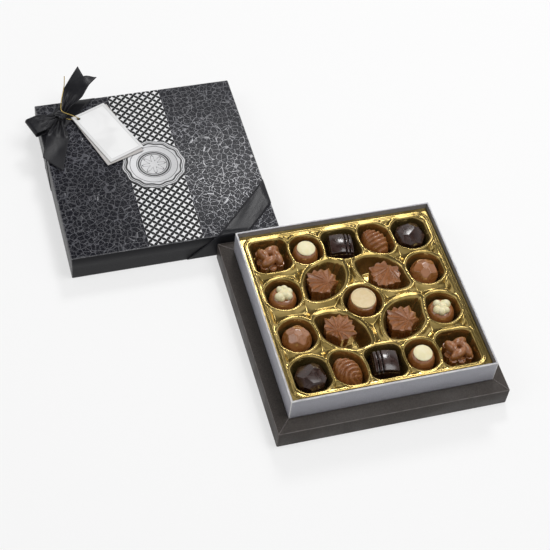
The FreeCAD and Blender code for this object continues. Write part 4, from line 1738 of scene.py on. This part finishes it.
@dataclass
class Lid:
    """The lid that lies behind the base: a board shell with crackle paper, a lattice band and a seal."""

    wrap: float = 0.5
    edge_round: float = 1.0
    seal_scallop: float = 1.6
    seal_lobes: int = 12
    lobe_points: int = 14
    seal_petals: int = 8
    seal_edge: float = 0.5
    seal_steps: tuple[Pair, ...] = ((1.0, 0.25), (0.9, -0.2), (1.4, 0.2), (4.0, 0.12), (1.4, -0.2))
    ink: Colour = (0.012, 0.012, 0.013, 1)
    board: Finish = Paper("grey_lid_board", **GREY_BOARD)
    low: Vector = field(init=False)
    high: Vector = field(init=False)
    middle: Vector = field(init=False)

    def __post_init__(self) -> None:
        """The lid's box and its middle."""
        self.low, self.high = mm_box("lid_cover")
        self.middle = (self.low + self.high) / 2

    def build(self) -> None:
        """Makes the cover and the seal, and dresses the band and the board."""
        self.cover()
        self.seal()
        band = Lattice(
            "lattice_print",
            foil=(0.70, 0.70, 0.71, 1),
            ink=self.ink,
            line=(0.02, 0.02, 0.02, 1),
            centre=tuple(self.middle),
        )
        band.dress("lid_lattice_band")
        self.board.dress("lid_board")

    def cover(self) -> None:
        """The paper over the board's top and sides."""
        half = (self.high - self.low) / 2
        paper = Crackle(
            "black_crackle_paper",
            plate=(0.007, 0.0072, 0.0115, 1),
            vein=(0.058, 0.059, 0.074, 1),
            side=(0.0065, 0.0065, 0.009, 1),
            # Pale edges: rubbed paper and a painted highlight line.
            worn_highlight=(0.26, 0.26, 0.27, 1),
            centre=tuple(self.middle),
            half=tuple(half),
        )
        bm = bmesh.new()
        add_box(bm, half, self.middle)
        under = min(bm.faces, key=lambda face: face.calc_center_median().z)
        bmesh.ops.delete(bm, geom=[under], context="FACES_ONLY")
        soften(bm, [edge for edge in bm.edges if not edge.is_boundary], self.edge_round, 4)
        piece = finished("crackle_cover", bm, paper, "lid", "lid_cover", "crackle_paper", sharp=60)
        thickened(piece, self.wrap, -1)

    def seal(self) -> None:
        """The scalloped medal with its raised rings."""
        low, high = mm_box("lid_seal")
        middle = (low + high) / 2
        radius = high.x - self.middle.x
        foil = SealFoil(
            "pressed_seal",
            foil=(0.50, 0.50, 0.51, 1),
            ink=self.ink,
            centre=tuple(self.middle),
            radius=radius,
            scallop=self.seal_scallop,
            lobes=self.seal_lobes,
            petals=self.seal_petals,
        )
        bm = bmesh.new()
        bmesh.ops.create_circle(bm, cap_ends=True, segments=self.seal_lobes * self.lobe_points, radius=1.0)
        for vert in bm.verts:
            wave = math.cos(self.seal_lobes * math.atan2(vert.co.y, vert.co.x))
            vert.co.xy *= radius - self.seal_scallop * (1 - wave) / 2
        top = bm.faces[:][0]
        if top.normal.z < 0:
            top.normal_flip()
        face = only(bmesh.types.BMFace, bmesh.ops.extrude_face_region(bm, geom=[top])["geom"])[0]
        bmesh.ops.translate(bm, vec=(0, 0, self.seal_edge), verts=face.verts)
        for thickness, depth in self.seal_steps:
            bmesh.ops.inset_region(bm, faces=[face], thickness=thickness, depth=depth, use_even_offset=True)
        bmesh.ops.translate(bm, vec=(middle.x, middle.y, low.z), verts=bm.verts)
        bmesh.ops.recalc_face_normals(bm, faces=bm.faces)
        finished("foil_seal", bm, foil, "lid", "lid_seal", "seal_foil", sharp=30)


@dataclass(frozen=True)
class Tail:
    """One ribbon end that leaves the knot: its heading in degrees and its sizes."""

    name: str
    node: str
    heading: float
    length: float
    start: float
    rise: float
    crest: float
    notch: float = 0.0
    slant: float = 0.0
    curl: float = 0.0


@dataclass
class Ribbon:
    """Black satin: a band over each of two corners, and a bow on the rear one."""

    width: float = 25.0
    thickness: float = 0.4
    corner_reach: float = 52.0
    turn_in: float = 12.0
    lid_inner_half: float = 112.0
    clearance: float = 0.3
    skin: float = 0.25
    edge_turn: Pair = (0.8, 0.6)
    ripple: float = 0.35
    ripple_waves: Pair = (9, 5)
    neck: float = 8.0
    neck_reach: float = 5.0
    folds: float = 2.5
    pleat: float = 0.8
    spread: float = 26.0
    tail_wave: float = 0.7
    tail_waves: Pair = (5, 2.2)
    wave_run: Pair = (10.0, 40.0)
    curl_run: Pair = (0.62, 1.0)
    curl_side: Pair = (0.1, 1.0)
    loop_length: float = 34.0
    loop_height: float = 6.4
    loop_low: float = 1.0
    loop_heading: float = -161.0
    loop_squeeze: float = 0.35
    loop_open: float = 14.0
    loop_spread: float = 1.1
    loop_pleat: float = 0.6
    wrap_width: float = 10.5
    wrap_fullness: float = 1.15
    wrap_half_span: float = 6.6
    wrap_half_height: float = 4.4
    wrap_low: float = 0.6
    wrap_barrel: float = 0.22
    wrap_pleat: float = 0.07
    wrap_folds: int = 3
    wrap_twist: float = 0.8
    wrap_heading: float = 50.0
    satin: Finish = Satin("satin_weave", colour=(0.006, 0.006, 0.008, 1), sheen=(0.016, 0.016, 0.019, 1))
    tails: tuple[Tail, ...] = (
        Tail("bow_tail_upper", "ribbon_tail_upper", 50.0, 58.0, 5.0, 19.0, 4.0, notch=9.0, curl=5.0),
        Tail("bow_tail_lower", "ribbon_tail_lower", -107.0, 58.0, 4.0, -2.0, -1.2, slant=-20.0),
    )

    def __post_init__(self) -> None:
        """The lid's middle, half side and top, and the bow's place on it."""
        low, high = mm_box("lid_cover")
        self.middle = (low + high) / 2
        self.half = high.x - self.middle.x
        self.top = high.z
        inset = self.half - self.corner_reach / 2
        self.bow = Vector((self.middle.x - inset, self.middle.y + inset, self.top))

    def build(self) -> None:
        """Makes both bands and the bow."""
        self.band("corner_band_rear", "ribbon_band_rear", 0)
        self.band("corner_band_front", "ribbon_band_front", 180)
        for tail in self.tails:
            self.tail(tail)
        self.loop()
        self.knot()

    def piece(
        self, name: str, bm: Mesh, node: str, flat: Pair, held: str, rests_on: str, **cut: float
    ) -> None:
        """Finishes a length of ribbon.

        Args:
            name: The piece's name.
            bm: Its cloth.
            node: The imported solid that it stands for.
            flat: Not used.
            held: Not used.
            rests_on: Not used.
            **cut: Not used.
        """
        piece = finished(name, bm, self.satin, "lid", node, "black_satin", sharp=80)
        thickened(piece, self.thickness, 0)

    def band(self, name: str, node: str, turn: float) -> None:
        """A band over a corner, down both sides, round the rim and a little way up inside.

        Args:
            name: The piece's name.
            node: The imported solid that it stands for.
            turn: Its turn about the lid's middle, in degrees.
        """
        outer, inner = self.half + self.clearance, self.lid_inner_half - self.clearance
        slant = self.width / math.sqrt(2)
        over, down = self.edge_turn
        wide, long = self.ripple_waves
        edges = []
        for reach in (self.corner_reach - slant, self.corner_reach + slant):
            y = self.half - reach
            foot = y - self.top
            inside = foot - (outer - inner)
            left = [
                Vector((-inner, inside - self.turn_in, self.turn_in)),
                Vector((-inner, inside, 2 * self.skin)),
                Vector((-outer, foot, 2 * self.skin)),
                Vector((-outer, y - over, self.top - down)),
                Vector((-outer + over, y + over, self.top + self.skin)),
            ]
            edges.append(left + [Vector((-point.y, -point.x, point.z)) for point in reversed(left)])
        spans = len(edges[0]) - 1
        spin = Matrix.Rotation(math.radians(turn), 3, "Z")

        def shape(across: float, along: float) -> Vector:
            """A point of the band, with slight waves where it lies on the top.

            Args:
                across: The share across the ribbon.
                along: The share along it.

            Returns:
                The point.
            """
            index = min(spans - 1, int(along * spans + 1e-6))
            share = along * spans - index
            near, far = (edge[index].lerp(edge[index + 1], share) for edge in edges)
            point = near.lerp(far, across)
            if index == spans // 2:
                lift = self.ripple * math.sin(math.pi * share)
                point.z += lift * (1 + math.sin(wide * across + long * share))
            return spin @ point + Vector((self.middle.x, self.middle.y, 0))

        length = sum((a - b).length for edge in edges for a, b in zip(edge, edge[1:])) / 2
        flat = (self.width, length)
        self.piece(name, cloth(shape, 10, spans * 8, flat), node, flat, "folded", "lid_cover")

    def gathered(self, along: float, across: float) -> Pair:
        """How the cloth gathers towards the knot.

        Args:
            along: The distance from the knot.
            across: The share across the ribbon.

        Returns:
            The place across and the pleat's height.
        """
        width = self.neck + (self.width - self.neck) * ease(along, 0.0, self.spread)
        spare = math.sqrt(max(0.0, self.width**2 - width**2)) / (4 * self.folds)
        return (2 * across - 1) * width / 2, self.pleat * spare * math.cos(2 * math.pi * self.folds * across)

    def placed(self, heading: float, point: Vector) -> Vector:
        """A point of the bow, given along X from the knot, turned to its heading in degrees."""
        return self.bow + Matrix.Rotation(math.radians(heading), 3, "Z") @ point

    def tail(self, tail: Tail) -> None:
        """A ribbon end that spreads from the knot.

        Args:
            tail: Its sizes.
        """
        long, wide = self.tail_waves

        def shape(across: float, along: float) -> Vector:
            """A point of the tail.

            Args:
                across: The share across the ribbon.
                along: The share along it.

            Returns:
                The point.
            """
            side = 2 * across - 1
            run = along * (tail.length - tail.notch * (1 - abs(side)) - tail.slant * across)
            share = run / tail.length
            y, pleat = self.gathered(run, across)
            z = tail.start + tail.rise * share + tail.crest * 4 * share * (1 - share) + pleat
            z += self.tail_wave * math.sin(long * share + wide * side) * ease(run, *self.wave_run)
            z -= tail.curl * ease(share, *self.curl_run) * ease(-side, *self.curl_side)
            return self.placed(tail.heading, Vector((self.neck_reach + run, y, z)))

        area = self.width * (tail.length - tail.notch / 2 - tail.slant / 2)
        flat = (self.width, tail.length - min(0.0, tail.slant))
        bm = cloth(shape, 28, 48, flat)
        self.piece(tail.name, bm, tail.node, flat, "gathered", "ribbon_knot", area=area * MM * MM)

    def loop(self) -> None:
        """The flat loop that reaches past the left edge and comes back to the knot."""
        radius = self.loop_height / 2
        straight = self.loop_length - radius
        bend = math.pi * radius
        total = 2 * straight + bend
        middle = self.loop_low + radius

        def shape(across: float, along: float) -> Vector:
            """A point of the loop, out along the top and back underneath.

            Args:
                across: The share across the ribbon.
                along: The share along it.

            Returns:
                The point.
            """
            run = along * total
            if run < straight:
                x, rise = run, radius
            elif run < straight + bend:
                turn = (run - straight) / radius
                x, rise = straight + radius * math.sin(turn), radius * math.cos(turn)
            else:
                x, rise = total - run, -radius
            y, pleat = self.gathered(x * self.loop_spread, across)
            squeeze = self.loop_squeeze + (1 - self.loop_squeeze) * ease(x, 0.0, self.loop_open)
            z = middle + rise * squeeze + self.loop_pleat * pleat
            return self.placed(self.loop_heading, Vector((self.neck_reach + x, y, z)))

        flat = (self.width, total)
        self.piece("bow_loop", cloth(shape, 28, 64, flat), "ribbon_loop", flat, "gathered", "lid_cover")

    def knot(self) -> None:
        """The ribbon wrapped round the bow's middle."""

        def shape(across: float, along: float) -> Vector:
            """A point of the wrap, pleated across and barrel shaped.

            Args:
                across: The share across the ribbon.
                along: The share along it.

            Returns:
                The point.
            """
            turn = 2 * math.pi * along
            side = 2 * across - 1
            pleat = math.cos(2 * math.pi * self.wrap_folds * across + self.wrap_twist * math.sin(turn))
            swell = 1 - self.wrap_barrel * side * side + self.wrap_pleat * pleat
            y = self.wrap_half_span * swell * math.sin(turn)
            z = self.wrap_half_height * (1 + swell * math.cos(turn)) + self.wrap_low
            return self.placed(self.wrap_heading, Vector((side * self.wrap_width / 2, y, z)))

        around = 2 * math.pi * math.sqrt((self.wrap_half_span**2 + self.wrap_half_height**2) / 2)
        bm = cloth(shape, 18, 48, (self.width, around))
        bmesh.ops.remove_doubles(bm, verts=bm.verts, dist=WELD)
        flat = (self.wrap_width * self.wrap_fullness, around)
        self.piece("bow_knot", bm, "ribbon_knot", flat, "gathered", "lid_cover")


@dataclass
class GiftTag:
    """Two cards on a gold string, whose route is in metres from the middle of the lid's top."""

    string_diameter: float = 1.0
    string_length: float = 78.0
    heading: float = -68.0
    fan: float = -3.5
    hole_inset: float = 6.0
    length: float = 82.0
    width: float = 44.0
    margin: float = 2.0
    white: tuple[Colour, Colour] = ((0.84, 0.84, 0.84, 1), (0.62, 0.62, 0.62, 1))
    pearl: tuple[Colour, Colour] = ((0.56, 0.54, 0.52, 1), (0.42, 0.40, 0.39, 1))
    thread: Finish = Thread("gold_thread", colour=(0.62, 0.46, 0.14, 1), shade=(0.22, 0.15, 0.04, 1))
    hole_point: int = 9
    route: tuple[Triple, ...] = (
        (-0.0770, 0.1310, 0.0260),
        (-0.0785, 0.1215, 0.0235),
        (-0.0820, 0.1125, 0.0200),
        (-0.0855, 0.1045, 0.0155),
        (-0.0875, 0.0980, 0.0119),
        (-0.0882, 0.0926, 0.0100),
        (-0.0844, 0.0884, 0.0100),
        (-0.0775, 0.0856, 0.0080),
        (-0.0730, 0.0842, 0.0060),
        (-0.0700, 0.0830, 0.0044),
        (-0.0700, 0.0830, 0.00102),
        (-0.0738, 0.0846, 0.00102),
        (-0.0831, 0.0874, 0.00104),
    )

    def __post_init__(self) -> None:
        """The string's route in the frame."""
        low, high = mm_box("lid_cover")
        origin = Vector(((low.x + high.x) / 2, (low.y + high.y) / 2, high.z)) * MM
        self.points = [origin + Vector(place) for place in self.route]

    def build(self) -> None:
        """Dresses the cards and makes the string."""
        hole = tuple(self.points[self.hole_point] / MM)
        low = (-self.hole_inset, -self.hole_inset)
        cards = (
            ("tag_front", "white_tag_card", self.white, 0.0, 0.0),
            ("tag_back", "pearl_tag_card", self.pearl, self.fan, self.margin),
        )
        for node, name, colours, turn, grow in cards:
            high = (self.length - self.hole_inset + grow, self.width - self.hole_inset + grow)
            Card(name, *colours, hole, self.heading + turn, low, high).dress(node)
        self.string()

    def string(self) -> None:
        """The gold string, from its free tip over the knot, through both holes and back to the knot."""
        line = bpy.data.curves.new("gift_string", "CURVE")
        line.dimensions = "3D"
        line.bevel_depth = self.string_diameter / 2 * MM
        line.bevel_resolution = 3
        line.use_fill_caps = True
        line.resolution_u = 12
        spline = line.splines.new("NURBS")
        spline.points.add(len(self.points) - 1)
        for point, place in zip(spline.points, self.points):
            point.co = (*place, 1.0)
        spline.order_u = 3
        spline.use_endpoint_u = True
        line.materials.append(self.thread.material())
        piece = bpy.data.objects.new("gift_string", line)
        bpy.context.scene.collection.objects.link(piece)
        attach(piece, "lid")
        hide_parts("gold_string")
        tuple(self.points[-1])
        log.info("gift_string: %d points", len(self.points))


@dataclass
class Studio:
    """The pale floor, soft lights and the camera, in metres."""

    lens: float = 94.8
    sensor: float = 36.0
    eye: Triple = (-0.4299, -0.8284, 1.2560)
    right: Triple = (0.96041, -0.26593, 0.08299)
    up: Triple = (0.16166, 0.77462, 0.61141)
    floor_half: float = 14.0
    floor_colour: Colour = (0.88, 0.88, 0.88, 1)
    floor_fade: Pair = (450.0, 1300.0)
    floor_glow: Pair = (0.62, 1.0)
    ambient: float = 0.28
    ceiling: float = 0.14
    horizon: Pair = (0.42, 0.72)
    front: Triple = (-0.6, 0.1, 0.7)
    target: Triple = (-0.05, 0.1, 0.03)
    lamps: tuple[tuple[str, Triple, float, float], ...] = (
        ("key", (0.6, 1.6, 1.8), 0.5, 20.0),
        ("left", (-1.2, 0.1, 1.35), 0.7, 4.0),
        ("top", (0.6, -0.2, 1.9), 1.0, 18.0),
    )

    def build(self) -> None:
        """Makes the floor, the sky, the lamps and the camera."""
        bpy.context.scene.view_settings.view_transform = "Standard"
        self.floor()
        self.sky()
        for lamp in self.lamps:
            self.lamp(*lamp)
        self.camera()

    def camera(self) -> None:
        """The camera at the photograph's viewing angle."""
        data = bpy.data.cameras.new("camera")
        data.lens = self.lens
        data.sensor_width = self.sensor
        camera = bpy.data.objects.new("camera", data)
        right, up = Vector(self.right), Vector(self.up)
        turn = Matrix((right, up, right.cross(up))).transposed()
        camera.matrix_world = Matrix.Translation(self.eye) @ turn.to_4x4()
        bpy.context.scene.collection.objects.link(camera)
        bpy.context.scene.camera = camera

    @staticmethod
    def background(graph: Graph) -> tuple[Socket, Socket]:
        """Which rays see the background.

        Args:
            graph: The node tree of the floor or the sky.

        Returns:
            1 for rays from the camera, and 1 for those and for rays in gloss and through glass.
        """
        path = graph.add("ShaderNodeLightPath").outputs
        camera = path["Is Camera Ray"]
        seen = graph.math("MAXIMUM", camera, path["Is Glossy Ray"])
        return camera, graph.math("MAXIMUM", seen, path["Is Transmission Ray"])

    def sky(self) -> None:
        """A pale sky that shows white, and is darker in gloss where a ceiling would be."""
        world = bpy.data.worlds.new("sky")
        graph = Graph.of(world)
        camera, seen = self.background(graph)
        _, depth, height = graph.split(graph.add("ShaderNodeTexCoord").outputs["Generated"])
        low = graph.span(height, *self.horizon, 1.0, 0.0)
        pale = graph.math("MAXIMUM", low, graph.span(depth, *self.front, 0.0))
        shown = graph.math("MAXIMUM", camera, graph.ramp(pale, self.ceiling, 1.0))
        strength = graph.math("MULTIPLY_ADD", seen, graph.math("SUBTRACT", shown, self.ambient), self.ambient)
        sky = graph.add("ShaderNodeBackground", {"Color": (1, 1, 1, 1), "Strength": strength})
        graph.add("ShaderNodeOutputWorld", {"Surface": sky.outputs[0]})
        bpy.context.scene.world = world

    def floor(self) -> None:
        """A white floor that keeps a soft shadow."""
        material = bpy.data.materials.new("white_floor")
        graph = Graph.of(material)
        matte = graph.add("ShaderNodeBsdfDiffuse", {"Color": self.floor_colour}).outputs[0]
        glow = graph.add("ShaderNodeEmission", {"Color": (1, 1, 1, 1), "Strength": 1.0}).outputs[0]
        away = graph.span(graph.vector("LENGTH", graph.point()), *self.floor_fade, *self.floor_glow)
        share = graph.math("MULTIPLY", self.background(graph)[1], away)
        both = graph.add("ShaderNodeMixShader", {0: share, 1: matte, 2: glow})
        graph.add("ShaderNodeOutputMaterial", {"Surface": both.outputs[0]})
        bm = bmesh.new()
        bmesh.ops.create_grid(bm, x_segments=1, y_segments=1, size=self.floor_half)
        mesh = bpy.data.meshes.new("floor")
        bm.to_mesh(mesh)
        bm.free()
        mesh.materials.append(material)
        floor = bpy.data.objects.new("floor", mesh)
        bpy.context.scene.collection.objects.link(floor)

    def lamp(self, name: str, place: Triple, size: float, power: float) -> None:
        """A square soft lamp aimed at the box.

        Args:
            name: The lamp's name.
            place: Where it hangs, in metres.
            size: Its side in metres.
            power: Its power in watts.
        """
        data = bpy.data.lights.new(name, "AREA")
        data.size = size
        data.energy = power
        lamp = bpy.data.objects.new(name, data)
        lamp.location = place
        lamp.rotation_mode = "QUATERNION"
        lamp.rotation_quaternion = (Vector(self.target) - Vector(place)).to_track_quat("-Z", "Y")
        bpy.context.scene.collection.objects.link(lamp)


def main() -> None:
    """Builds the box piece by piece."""
    logging.basicConfig(level=logging.INFO, format="%(message)s")
    for assembly in (Studio, GiftTag, Plinth, Tray, Insert, Pralines, Lid, Ribbon):
        assembly().build()


if __name__ == "__main__":
    main()
